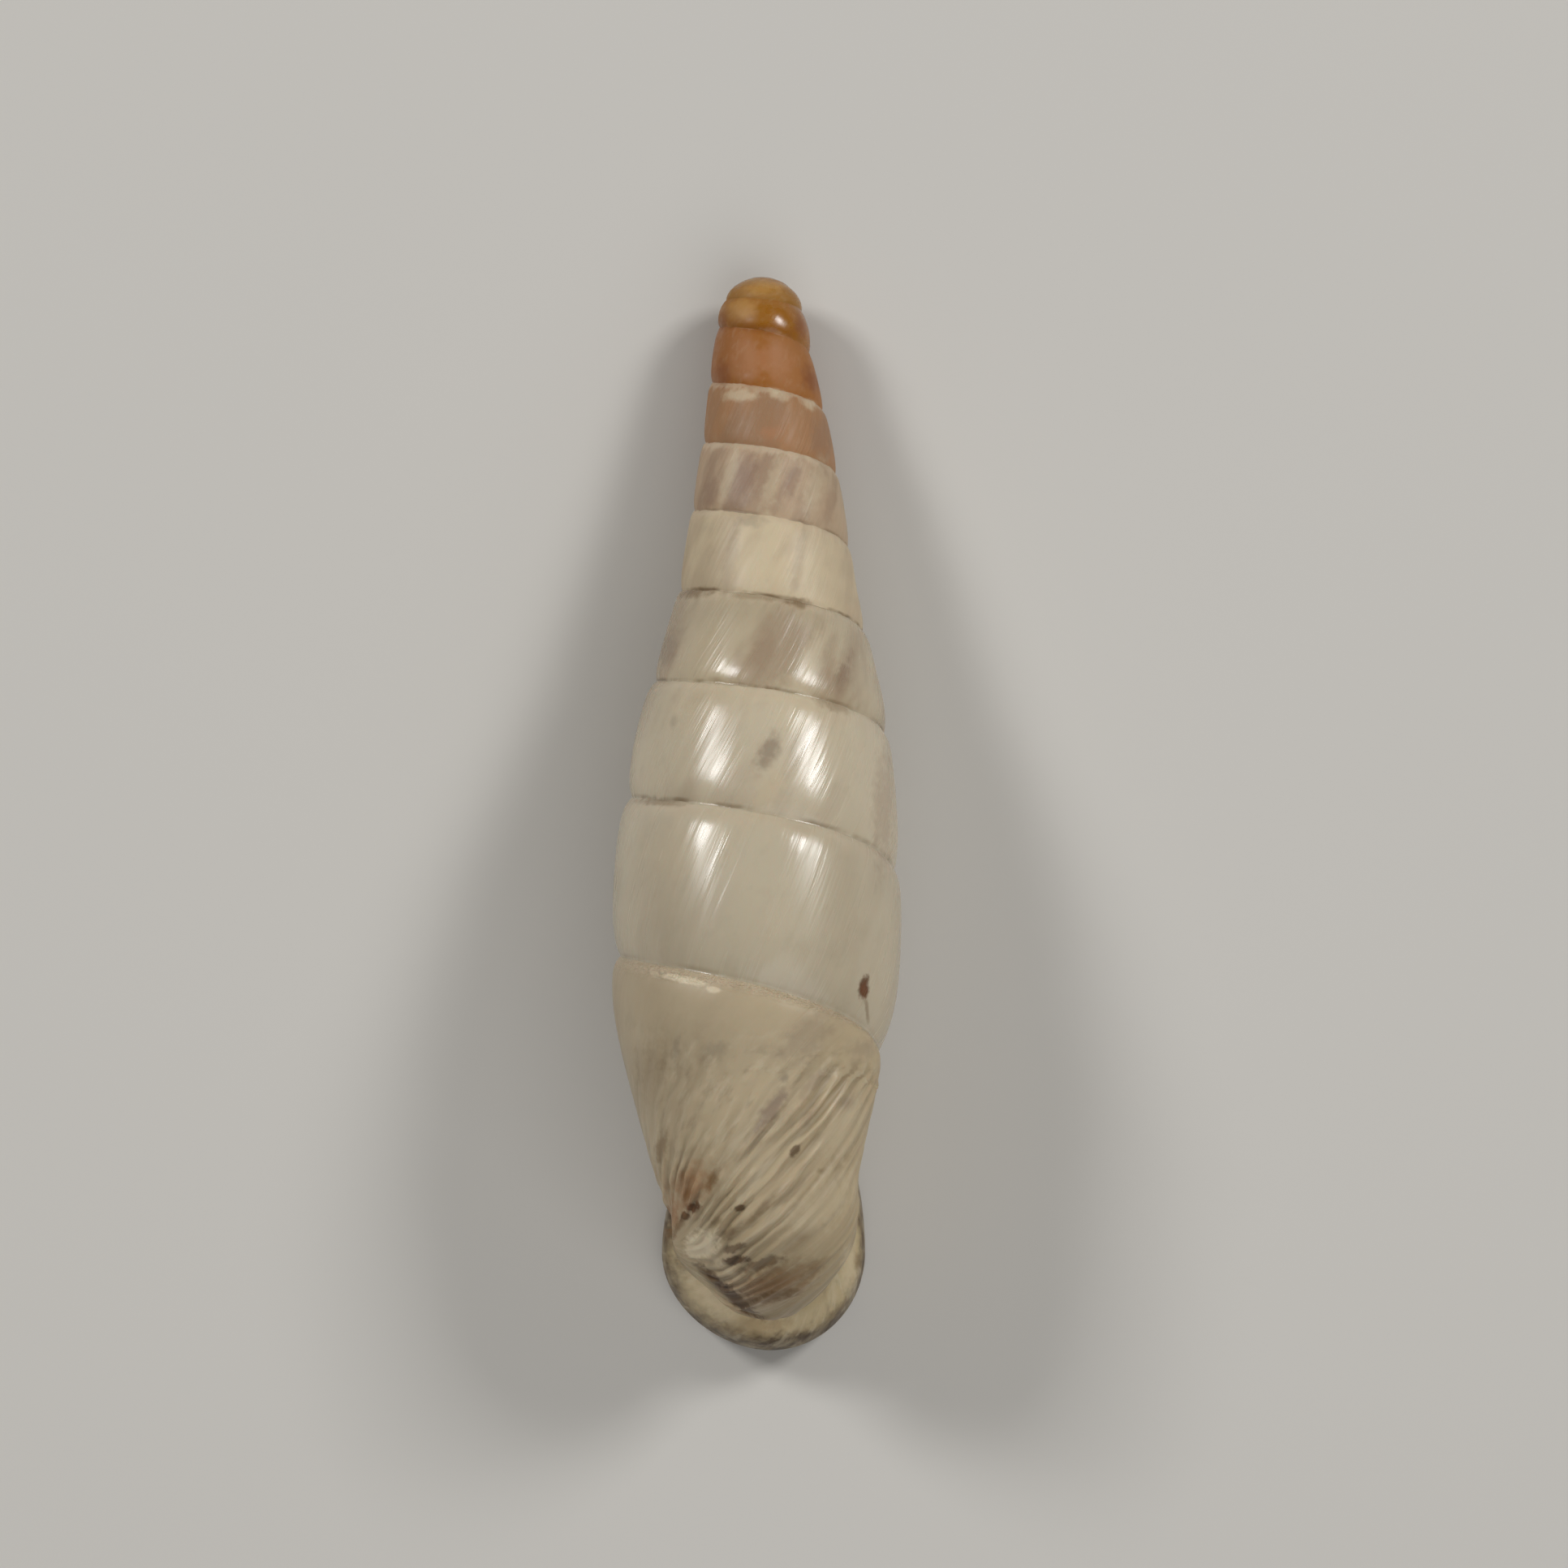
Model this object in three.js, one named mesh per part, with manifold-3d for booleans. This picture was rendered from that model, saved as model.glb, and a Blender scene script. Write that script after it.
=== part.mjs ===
// Shell of a door snail: one hollow-mouthed piece, coiled to the left, lying mouth down.
// Millimetres. +X across the shell, +Y towards the apex, +Z up from the surface it lies on.
import * as THREE from "three";
import { mergeVertices } from "three/addons/utils/BufferGeometryUtils.js";
import Module from "manifold-3d";

// Turns of the coil, counted from the apex. A whole turn ends at the shell's left side,
// a quarter more on its back, a half more at its right side, three quarters more underneath.
const LAST_TURN = 9.75;
const STRIP_TURNS = LAST_TURN - 1;

// Distance down the axis from the apex to the suture, after each number of turns.
const SUTURE_DOWN = [
  [0, 0], [1, 0.37], [2, 0.81], [3, 1.7], [4, 2.66], [5, 3.74],
  [6, 5.01], [7, 6.46], [8, 8.3], [9, 10.81], [9.5, 12.34], [9.75, 12.89],
];
// Radius over the crown of the whorls, by distance down the axis.
const BODY_RADIUS = [
  [0, 0], [0.1, 0.36], [0.35, 0.6], [0.75, 0.73], [1.4, 0.82], [2.4, 0.99], [3.45, 1.17], [4.5, 1.34],
  [5, 1.42], [6, 1.68], [7, 1.95], [8, 2.11], [9, 2.23], [10, 2.28], [11, 2.27], [11.6, 2.22],
  [12.2, 2.1], [12.89, 1.92],
];
// How far the axis sways to the right, by distance down it.
const AXIS_SWAY = [[0, 0], [1.4, 0.02], [2.7, 0.09], [5.2, 0.09], [7.8, 0], [9, -0.05], [12.89, -0.13]];
// Depth of the groove at the suture, by turn.
const GROOVE_DEPTH = [[0, 0], [1, 0.03], [2, 0.06], [5, 0.06], [6, 0.07], [7, 0.1], [8, 0.13], [9.75, 0.16]];
// How far the groove reaches under the suture and above it, as shares of a whorl's height,
// and the turns over which it fades at its two ends on the last ring.
const SHOULDER = 0.06;
const HEM = 0.12;
const SUTURE_FADE_TURNS = 0.03;

// Cross-sections of the neck from the last suture to the keel's end: distance down the axis,
// centre to the right, half width, centre above the axis, depth of its back and of its underside.
const NECK_SECTIONS = [
  [12.89, -0.13, 1.92, 0, 1.92, 1.92],
  [13.6, -0.1, 1.74, 0, 1.78, 1.7],
  [14.23, -0.07, 1.58, -0.05, 1.62, 1.5],
  [14.75, 0.06, 1.46, -0.15, 1.52, 1.3],
  [15.26, 0.16, 1.26, -0.4, 1.47, 1.05],
  [15.72, 0.2, 0.93, -0.7, 1.3, 0.75],
  [16.02, 0.2, 0.58, -1.0, 0.95, 0.5],
  [16.2, 0.2, 0, -1.15, 0, 0],
];
// Where the growth lines of the neck run together, on a unit disc that has the last suture's
// ring as its edge and the keel's end as its middle.
const GATHER_REACH = 0.47;
const GATHER_ANGLE = THREE.MathUtils.degToRad(110);
// How far the growth lines lean back on their way down the neck.
const GROWTH_TWIST = THREE.MathUtils.degToRad(120);
// The ribs of the neck: their height, where they start, the turns over which they grow to it,
// and the share of a growth line over which they fade where the lines run together.
const RIB_HEIGHT = 0.07;
const RIBS_START_TURN = 8.95;
const RIBS_GROW_TURNS = 0.2;
const RIBS_FADE = 0.3;
// The keel at the neck's base: height, width on the disc, and the share of the way it starts at.
const KEEL_HEIGHT = 0.1;
const KEEL_WIDTH = 0.12;
const KEEL_START = 0.85;

// Rings of the mouth, each an egg with its long end towards the apex: height against the axis,
// half width, reach below its centre, reach above it, centre to the right, centre down the axis,
// and how pointed its lower end is.
// The outside, from inside the neck out to the edge of the flared lip:
const LIP_OUTSIDE = [
  [-0.5, 0.85, 0.8, 1.4, 0.34, 14.75, 1.2],
  [-1.5, 0.95, 0.9, 1.7, 0.34, 14.85, 1.2],
  [-2.05, 1.02, 0.98, 1.95, 0.3, 14.97, 1.15],
  [-2.28, 1.16, 1.12, 2.15, 0.24, 15.0, 1.1],
  [-2.36, 1.42, 1.36, 2.4, 0.1, 15.04, 1.05],
  [-2.52, 1.56, 1.47, 2.52, 0.04, 15.06, 1.05],
  [-2.8, 1.61, 1.51, 2.55, 0.03, 15.06, 1.05],
  [-3.12, 1.61, 1.51, 2.55, 0.03, 15.06, 1.05],
  [-3.25, 1.55, 1.46, 2.49, 0.03, 15.05, 1.05],
];
// The passage, from in front of the lip back into the last whorl:
const PASSAGE = [
  [-3.61, 1.5, 1.4, 2.44, 0.03, 15.01, 1.05],
  [-3.25, 1.44, 1.35, 2.38, 0.03, 15.05, 1.05],
  [-2.75, 1.16, 1.1, 2.05, 0.12, 15.03, 1.05],
  [-2.3, 0.92, 0.88, 1.75, 0.26, 14.97, 1.05],
  [-1.9, 0.8, 0.76, 1.55, 0.32, 14.9, 1.1],
  [-1.4, 0.7, 0.66, 1.3, 0.34, 14.8, 1.1],
  [-0.95, 0.58, 0.55, 0.95, 0.34, 14.7, 1.1],
  [-0.75, 0.4, 0.4, 0.6, 0.34, 14.6, 1],
];
// The lip's two ends lean to the right. The lip slopes so that it lies level under the resting
// shell, and its side edges stand lower than its ends.
const LIP_LEAN = 0.26;
const LIP_FOOT_LEAN = 0.12;
const LIP_SLOPE = 0.12;
const LIP_ARCH = 0.12;
// The two lamellae in the mouth, thin rounded plates standing on its wall: middle, half sizes,
// and lean about the height axis. One stands on the upper wall, one on the columella.
const LAMELLAE = [
  { middle: [0.5, -13.3, -1.9], half: [0.09, 0.45, 0.8], lean: -12 },
  { middle: [-0.4, -14.75, -1.75], half: [0.32, 0.09, 0.65], lean: 20 },
];

// Lengths down the axis are given as they look from above. The pitch of the lying shell
// shortens them, so the finished shell is stretched by this much along its axis.
const AXIS_STRETCH = 1.012;

// Fineness of the facets.
const COLUMNS = 32;
const FINE = 4;
const WHORL_ROWS = [0, 0.07, 0.2, 0.42, 0.66, 0.86];
const NECK_ROWS = [0.88, 0.76, 0.64, 0.52, 0.4, 0.28, 0.17, 0.08];
const LIP_POINTS = 44;
const LAMELLA_POINTS = 16;
const PITCH_ROUNDS = 5;
const SAME_POINT = 1e-4;

const SHELL_COLOUR = 0xb3a990;

// A smooth curve through points given as [x, y], with x rising.
function curveThrough(points) {
  const slopes = points.map((point, i) => {
    const before = points[Math.max(i - 1, 0)];
    const after = points[Math.min(i + 1, points.length - 1)];
    return (after[1] - before[1]) / (after[0] - before[0]);
  });
  return (x) => {
    let i = 0;
    while (i < points.length - 2 && x > points[i + 1][0]) i += 1;
    const [x0, y0] = points[i];
    const [x1, y1] = points[i + 1];
    const span = x1 - x0;
    const s = THREE.MathUtils.clamp((x - x0) / span, 0, 1);
    const rise = (3 - 2 * s) * s * s;
    const bend = slopes[i] * (s - 1) ** 2 * s + slopes[i + 1] * (s - 1) * s * s;
    return y0 + (y1 - y0) * rise + span * bend;
  };
}

const sutureDown = curveThrough(SUTURE_DOWN);
const bodyRadius = curveThrough(BODY_RADIUS);
const axisSway = curveThrough(AXIS_SWAY);
const grooveDepth = curveThrough(GROOVE_DEPTH);
const neckMeasures = [0, 1, 2, 3, 4, 5].map((column) =>
  curveThrough(NECK_SECTIONS.map((section, i) => [i / (NECK_SECTIONS.length - 1), section[column]])),
);

const SUTURE_END = sutureDown(LAST_TURN);
const LAST_TURN_HEIGHT = SUTURE_END - sutureDown(STRIP_TURNS);
// The columns stand half a step round, so that a facet and not an edge lies lowest.
const angleOf = (turn) => Math.PI - 2 * Math.PI * turn - Math.PI / COLUMNS;

// How much of the groove is left at the lower edge of a whorl: all of it, until the last whorl.
function lowerGroove(turn) {
  if (turn < STRIP_TURNS) return grooveDepth(turn + 1);
  const fromEnd = Math.min(turn - STRIP_TURNS, LAST_TURN - turn);
  return grooveDepth(LAST_TURN) * Math.exp(-((fromEnd / SUTURE_FADE_TURNS) ** 2));
}

// A point of the coiled body, a share of the way down its whorl from the suture above.
function whorlPoint(turn, share) {
  const top = sutureDown(turn);
  const bottom = sutureDown(Math.min(turn + 1, LAST_TURN));
  const down = THREE.MathUtils.lerp(top, bottom, share);
  const height = turn < STRIP_TURNS ? bottom - top : LAST_TURN_HEIGHT;
  const upper = grooveDepth(turn) * Math.exp((top - down) / (height * SHOULDER));
  const lower = lowerGroove(turn) * Math.exp((down - bottom) / (height * HEM));
  const radius = Math.max(bodyRadius(down) - Math.max(upper, lower), 0);
  const angle = angleOf(turn);
  return new THREE.Vector3(axisSway(down) + radius * Math.cos(angle), -down, radius * Math.sin(angle));
}

// A point of the neck, by its place on the unit disc, pushed out by the given amount.
function neckPoint(across, up, push) {
  const reach = Math.min(Math.hypot(across, up), 1);
  const angle = Math.atan2(up, across) + GROWTH_TWIST * (1 - reach);
  const [down, centre, width, height, back, under] = neckMeasures.map((measure) => measure(1 - reach));
  const depth = Math.sin(angle) > 0 ? back : under;
  return new THREE.Vector3(
    centre + (Math.max(width, 0) + push) * Math.cos(angle),
    -down - push * (1 - reach),
    height + (Math.max(depth, 0) + push) * Math.sin(angle),
  );
}

// Slides a point of the disc along its growth line: share 1 is the edge, 0 the gathering point.
function alongGrowthLine(angle, share) {
  const gather = new THREE.Vector2(GATHER_REACH, 0).rotateAround(new THREE.Vector2(), GATHER_ANGLE);
  const edge = discMove(new THREE.Vector2(Math.cos(angle), Math.sin(angle)), gather.clone().negate());
  return discMove(edge.multiplyScalar(share), gather);
}

// Moves the unit disc onto itself so that its middle goes to the given point.
function discMove(point, middle) {
  const top = point.clone().add(middle);
  const low = new THREE.Vector2(
    1 + middle.x * point.x + middle.y * point.y,
    middle.x * point.y - middle.y * point.x,
  );
  const scale = low.lengthSq();
  return new THREE.Vector2(
    (top.x * low.x + top.y * low.y) / scale,
    (top.y * low.x - top.x * low.y) / scale,
  );
}

function ribPush(column, turn, share) {
  const started = THREE.MathUtils.smoothstep(turn, RIBS_START_TURN, RIBS_START_TURN + RIBS_GROW_TURNS);
  const wave = Math.sin((Math.PI * column) / FINE) ** 2;
  const gathered = THREE.MathUtils.smoothstep(share, 0, RIBS_FADE);
  return RIB_HEIGHT * wave * started * gathered;
}

// The keel is a low crest from the gathering point to the neck's lower end.
function keelPush(place) {
  const keel = new THREE.Vector2(GATHER_REACH, 0).rotateAround(new THREE.Vector2(), GATHER_ANGLE);
  const along = THREE.MathUtils.clamp(place.dot(keel) / keel.lengthSq(), 0, KEEL_START);
  const away = place.distanceTo(keel.multiplyScalar(along));
  return KEEL_HEIGHT * Math.exp(-((away / KEEL_WIDTH) ** 2));
}

// Collects triangles as one closed geometry whose shared corners are merged.
class Facets {
  constructor() {
    this.corners = [];
  }
  triangle(a, b, c) {
    if (Math.min(a.distanceTo(b), b.distanceTo(c), c.distanceTo(a)) < SAME_POINT) return;
    this.corners.push(...a.toArray(), ...b.toArray(), ...c.toArray());
  }
  quad(a, b, c, d) {
    this.triangle(a, b, c);
    this.triangle(a, c, d);
  }
  geometry() {
    const loose = new THREE.BufferGeometry();
    loose.setAttribute("position", new THREE.Float32BufferAttribute(this.corners, 3));
    return mergeVertices(loose, SAME_POINT);
  }
}

// The spire and body: one coiled strip from the apex, then the last whorl and the neck.
function bodyGeometry() {
  const facets = new Facets();
  const coarse = (i) => i / COLUMNS;
  const columnsInStrip = STRIP_TURNS * COLUMNS;
  const stripPoint = (i, row) =>
    row < WHORL_ROWS.length
      ? whorlPoint(coarse(i), WHORL_ROWS[row])
      : whorlPoint(coarse(i) + 1, 0);
  const apex = new THREE.Vector3(0, 0, 0);
  for (let i = 0; i < COLUMNS - 1; i += 1) {
    facets.triangle(apex, stripPoint(i, 0), stripPoint(i + 1, 0));
  }
  for (let row = 0; row < WHORL_ROWS.length; row += 1) {
    facets.triangle(stripPoint(COLUMNS - 1, 0), stripPoint(0, row + 1), stripPoint(0, row));
  }
  for (let i = 0; i < columnsInStrip; i += 1) {
    for (let row = 0; row < WHORL_ROWS.length; row += 1) {
      facets.quad(
        stripPoint(i, row),
        stripPoint(i, row + 1),
        stripPoint(i + 1, row + 1),
        stripPoint(i + 1, row),
      );
    }
  }
  for (let i = columnsInStrip; i < columnsInStrip + COLUMNS; i += 1) addLastWhorl(facets, i);
  addNeck(facets);
  return facets.geometry();
}

// One column of the last whorl, from the suture down to the finer columns of the neck.
function addLastWhorl(facets, i) {
  const rows = WHORL_ROWS.length;
  const left = WHORL_ROWS.map((share) => whorlPoint(i / COLUMNS, share));
  const right = WHORL_ROWS.map((share) => whorlPoint((i + 1) / COLUMNS, share));
  for (let row = 0; row < rows - 1; row += 1) {
    facets.quad(left[row], left[row + 1], right[row + 1], right[row]);
  }
  const first = (i - STRIP_TURNS * COLUMNS) * FINE;
  const half = FINE / 2;
  for (let step = 0; step < FINE; step += 1) {
    const above = step < half ? left[rows - 1] : right[rows - 1];
    facets.triangle(above, neckRowPoint(first + step, 0), neckRowPoint(first + step + 1, 0));
  }
  facets.triangle(left[rows - 1], neckRowPoint(first + half, 0), right[rows - 1]);
}

// A point of the neck by column and row, whose first row is the lower edge of the last whorl.
function neckRowPoint(column, row) {
  const turn = STRIP_TURNS + column / (COLUMNS * FINE);
  if (row === 0) return whorlPoint(turn, 1);
  const share = NECK_ROWS[row - 1];
  const place = alongGrowthLine(angleOf(turn), share);
  return neckPoint(place.x, place.y, ribPush(column, turn, share) + keelPush(place));
}

function addNeck(facets) {
  const columns = COLUMNS * FINE;
  const middle = alongGrowthLine(0, 0);
  const gather = neckPoint(middle.x, middle.y, keelPush(middle));
  const last = NECK_ROWS.length;
  for (let column = 0; column < columns; column += 1) {
    for (let row = 0; row < last; row += 1) {
      facets.quad(
        neckRowPoint(column, row),
        neckRowPoint(column, row + 1),
        neckRowPoint(column + 1, row + 1),
        neckRowPoint(column + 1, row),
      );
    }
    facets.triangle(neckRowPoint(column, last), gather, neckRowPoint(column + 1, last));
  }
}

// The points of one ring of the mouth.
function mouthRing([height, halfWidth, below, above, across, down, point]) {
  const ring = [];
  for (let i = 0; i < LIP_POINTS; i += 1) {
    const angle = (2 * Math.PI * i) / LIP_POINTS;
    const rise = Math.sin(angle);
    const run = Math.cos(angle);
    const pointed = rise > 0 ? 1 : point;
    const lean = (rise > 0 ? LIP_LEAN : LIP_FOOT_LEAN) * rise * rise;
    const along = rise > 0 ? above * rise : -below * Math.abs(rise) ** pointed;
    ring.push(
      new THREE.Vector3(
        across + lean + halfWidth * Math.sign(run) * Math.abs(run) ** pointed,
        along - down,
        height + LIP_ARCH * rise * rise + LIP_SLOPE * along,
      ),
    );
  }
  return ring;
}

// A closed solid through rings that go from high to low, flat at both ends.
function solidThrough(rings) {
  const facets = new Facets();
  const middleOf = (ring) =>
    ring.reduce((sum, point) => sum.add(point), new THREE.Vector3()).divideScalar(ring.length);
  const first = rings[0];
  const last = rings.at(-1);
  for (let i = 0; i < LIP_POINTS; i += 1) {
    const next = (i + 1) % LIP_POINTS;
    facets.triangle(middleOf(first), first[i], first[next]);
    facets.triangle(middleOf(last), last[next], last[i]);
    for (let level = 0; level < rings.length - 1; level += 1) {
      facets.quad(rings[level][i], rings[level + 1][i], rings[level + 1][next], rings[level][next]);
    }
  }
  return facets.geometry();
}

// A thin rounded plate for one lamella.
function lamellaGeometry({ middle, half, lean }) {
  const plate = new THREE.SphereGeometry(1, LAMELLA_POINTS, LAMELLA_POINTS / 2);
  plate.deleteAttribute("normal");
  plate.deleteAttribute("uv");
  plate.scale(...half);
  plate.rotateZ(THREE.MathUtils.degToRad(lean));
  plate.translate(...middle);
  return mergeVertices(plate, SAME_POINT);
}

const wasm = await Module();
wasm.setup();

function manifoldOf(geometry) {
  return new wasm.Manifold(
    new wasm.Mesh({
      numProp: 3,
      vertProperties: geometry.getAttribute("position").array,
      triVerts: new Uint32Array(geometry.index.array),
    }),
  );
}

function geometryOf(manifold) {
  const { vertProperties, triVerts } = manifold.getMesh();
  const geometry = new THREE.BufferGeometry();
  geometry.setAttribute("position", new THREE.BufferAttribute(vertProperties, 3));
  geometry.setIndex(new THREE.BufferAttribute(triVerts, 1));
  return geometry;
}

function shellGeometry() {
  const body = manifoldOf(bodyGeometry());
  const lip = manifoldOf(solidThrough(LIP_OUTSIDE.map(mouthRing)));
  const passage = manifoldOf(solidThrough([...PASSAGE].reverse().map(mouthRing)));
  const hollow = body.add(lip).subtract(passage);
  const lamellae = LAMELLAE.map((lamella) => manifoldOf(lamellaGeometry(lamella)));
  return geometryOf(lamellae.reduce((whole, lamella) => whole.add(lamella), hollow));
}

// The pitch at which the shell rests on its lip and on the whorl that then stands lowest.
function restingPitch(geometry) {
  const position = geometry.getAttribute("position");
  const points = [];
  for (let i = 0; i < position.count; i += 1) {
    points.push(new THREE.Vector2(position.getY(i), position.getZ(i)));
  }
  const lip = points.filter((point) => point.x < -SUTURE_END);
  const whorls = points.filter((point) => point.x >= -SUTURE_END);
  let pitch = 0;
  for (let round = 0; round < PITCH_ROUNDS; round += 1) {
    const heightOf = (point) => point.y * Math.cos(pitch) - point.x * Math.sin(pitch);
    const foot = lip.reduce((low, point) => (heightOf(point) < heightOf(low) ? point : low));
    pitch = Math.min(...whorls.map((point) => Math.atan2(point.y - foot.y, point.x - foot.x)));
  }
  return pitch;
}

const shell = new THREE.Mesh(
  shellGeometry().scale(1, AXIS_STRETCH, 1),
  new THREE.MeshStandardMaterial({ color: SHELL_COLOUR, roughness: 0.35, metalness: 0 }),
);
shell.name = "shell";
shell.rotation.x = -restingPitch(shell.geometry);

const part = new THREE.Group();
part.add(shell);
part.updateMatrixWorld(true);
const box = new THREE.Box3().setFromObject(shell, true);
shell.position.set(-(box.min.x + box.max.x) / 2, -(box.min.y + box.max.y) / 2, -box.min.z);

export default part;
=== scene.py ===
import math

import bpy
import numpy as np
from bpy.props import FloatProperty, FloatVectorProperty, IntProperty, PointerProperty
from mathutils import Matrix, Vector, kdtree


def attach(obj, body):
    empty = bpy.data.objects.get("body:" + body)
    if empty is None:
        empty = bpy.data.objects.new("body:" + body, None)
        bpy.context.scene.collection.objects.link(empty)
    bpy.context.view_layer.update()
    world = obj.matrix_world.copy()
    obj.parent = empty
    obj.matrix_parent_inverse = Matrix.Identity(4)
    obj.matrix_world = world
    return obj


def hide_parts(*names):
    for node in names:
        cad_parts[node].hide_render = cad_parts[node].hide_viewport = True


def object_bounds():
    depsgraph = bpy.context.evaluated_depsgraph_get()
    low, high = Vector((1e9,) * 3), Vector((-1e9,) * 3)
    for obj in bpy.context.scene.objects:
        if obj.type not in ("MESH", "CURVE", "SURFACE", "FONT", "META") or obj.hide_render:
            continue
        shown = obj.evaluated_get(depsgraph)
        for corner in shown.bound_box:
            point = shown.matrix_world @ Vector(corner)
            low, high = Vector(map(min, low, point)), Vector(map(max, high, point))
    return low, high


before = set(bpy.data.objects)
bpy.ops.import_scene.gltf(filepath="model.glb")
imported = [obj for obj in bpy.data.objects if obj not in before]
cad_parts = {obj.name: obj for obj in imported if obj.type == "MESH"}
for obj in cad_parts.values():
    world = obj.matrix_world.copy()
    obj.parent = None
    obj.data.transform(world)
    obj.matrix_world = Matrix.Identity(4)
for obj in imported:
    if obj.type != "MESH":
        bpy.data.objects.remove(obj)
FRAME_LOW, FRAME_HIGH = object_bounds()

bl_info = {
    "name": "Door Snail Shell",
    "version": (1, 0, 0),
    "blender": (4, 5, 0),
    "location": "3D View > Sidebar > Snail Shell",
    "description": "A left-coiled door snail shell, lying mouth down under studio light",
    "category": "Add Mesh",
}

MILLIMETRE = 0.001

# Turns of the coil, counted from the apex. A whole turn ends at the shell's left side, a
# quarter more on its back, a half more at its right side, three quarters more underneath.
FIRST_TURN = -1
LAST_TURN = 9.75
STRIP_TURNS = LAST_TURN - 1
# The coil of the solid starts half a facet on.
HALF_FACET = math.pi / 32

# Distance down the axis from the apex to the suture, after each number of turns, in mm.
SUTURE_DOWN = [
    (0, 0), (1, 0.37), (2, 0.81), (3, 1.7), (4, 2.66), (5, 3.74),
    (6, 5.01), (7, 6.46), (8, 8.3), (9, 10.81), (9.5, 12.34), (9.75, 12.89),
]
# Radius over the crown of the whorls, by distance down the axis.
BODY_RADIUS = [
    (0, 0), (0.1, 0.36), (0.35, 0.6), (0.75, 0.73), (1.4, 0.82), (2.4, 0.99), (3.45, 1.17),
    (4.5, 1.34), (5, 1.42), (6, 1.68), (7, 1.95), (8, 2.11), (9, 2.23), (10, 2.28),
    (11, 2.27), (11.6, 2.22), (12.2, 2.1), (12.89, 1.92),
]
TIP_DOWN = 0.1
TIP_RADIUS = 0.36
# How far the axis sways to the right, by distance down it.
AXIS_SWAY = [
    (0, 0), (1.4, 0.02), (2.7, 0.09), (5.2, 0.09), (7.8, 0), (9, -0.05), (12.89, -0.13),
]
# Depth of the groove at the suture, by turn, and how far it reaches under the suture and
# above it, as shares of a whorl's height.
GROOVE_DEPTH = [
    (0, 0), (1, 0.045), (2, 0.07), (3, 0.06), (5, 0.06), (6, 0.07), (7, 0.1), (8, 0.13),
    (9.75, 0.16),
]
SHOULDER = 0.05
HEM = 0.12
# The coil starts with no height, and this least height keeps its grooves' reach above zero.
LEAST_HEIGHT = 1e-6
# The reach of the wider, softer grooves at the tip, and the turns over which they end.
TIP_GROOVE_REACH = 0.2
TIP_GROOVE_TURNS = (2.2, 3.0)
SUTURE_FADE_TURNS = 0.03
# Sutures wander over this share of a whorl's height, between these turns.
WANDER_REACH = 0.12
WANDER_START = (1.0, 2.0)
WANDER_END = (8.7, 8.9)
WANDERS_PER_TURN = 34.0

# Cross-sections of the neck from the last suture to the keel's end: distance down the axis,
# centre to the right, half width, centre above the axis, depth of its back and underside.
NECK_SECTIONS = [
    (12.89, -0.13, 1.92, 0, 1.92, 1.92),
    (13.6, -0.1, 1.74, 0, 1.78, 1.7),
    (14.23, -0.07, 1.58, -0.05, 1.62, 1.5),
    (14.75, 0.06, 1.46, -0.15, 1.52, 1.3),
    (15.26, 0.16, 1.26, -0.4, 1.47, 1.05),
    (15.72, 0.2, 0.93, -0.7, 1.3, 0.75),
    (16.02, 0.2, 0.58, -1.0, 0.95, 0.5),
    (16.2, 0.2, 0, -1.15, 0, 0),
]
# Where the growth lines of the neck run together, on a unit disc that has the last suture's
# ring as its edge and the keel's end as its middle.
GATHER_REACH = 0.47
GATHER_ANGLE = math.radians(110)
GROWTH_TWIST = math.radians(120)
RIBS_START_TURN = 8.95
RIBS_GROW_TURNS = 0.2
RIBS_STOP_TURNS = 0.05
# Where the ribs grow below the suture, where they fade at the knob, and where they gather, as
# shares of the whorl and, past 1, of the neck.
RIBS_BELOW_SUTURE = (0.35, 1.1)
RIBS_AT_KNOB = (1.62, 1.88)
RIBS_GATHERED = (1.3, 1.75)
# How far the ribs lean over a whorl, in turns, how sharp their crests are, how often and how
# slowly down a rib they stray, and how strong they are from patch to patch.
RIB_LEAN = 0.08
RIB_SHARPNESS = 1.3
RIB_STRAYS_PER_TURN = 12.0
RIB_STRAYS_DOWN = 0.18
RIB_PATCHES_PER_TURN = 24.0
RIB_PATCHES_DOWN = 5.0
RIB_PATCH_EDGE = (0.32, 0.62)
RIB_PATCH_STRENGTHS = (0.15, 1.15)
# The slow growth waves: how often, how they lean and change down a whorl, where they start.
WAVES_PER_TURN = 26.0
WAVE_LEAN = 0.06
WAVES_DOWN = 0.02
WAVES_START = (2.5, 4.0)
# The ribs stand out right of the middle and where they gather, and are faint elsewhere.
BOLD_RIBS_TURN = 9.38
BOLD_RIBS_WIDTH = 0.09
FAINT_RIBS = 0.25
KEEL_HEIGHT = 0.1
KEEL_WIDTH = 0.12
KEEL_START = 0.85
# The knob at the upper end of the keel: how high it stands, its width on the disc, and the
# share of the way from the keel's end to the gathering point.
KNOB_HEIGHT = 0.15
KNOB_WIDTH = 0.14
KNOB_PLACE = 0.9

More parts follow.
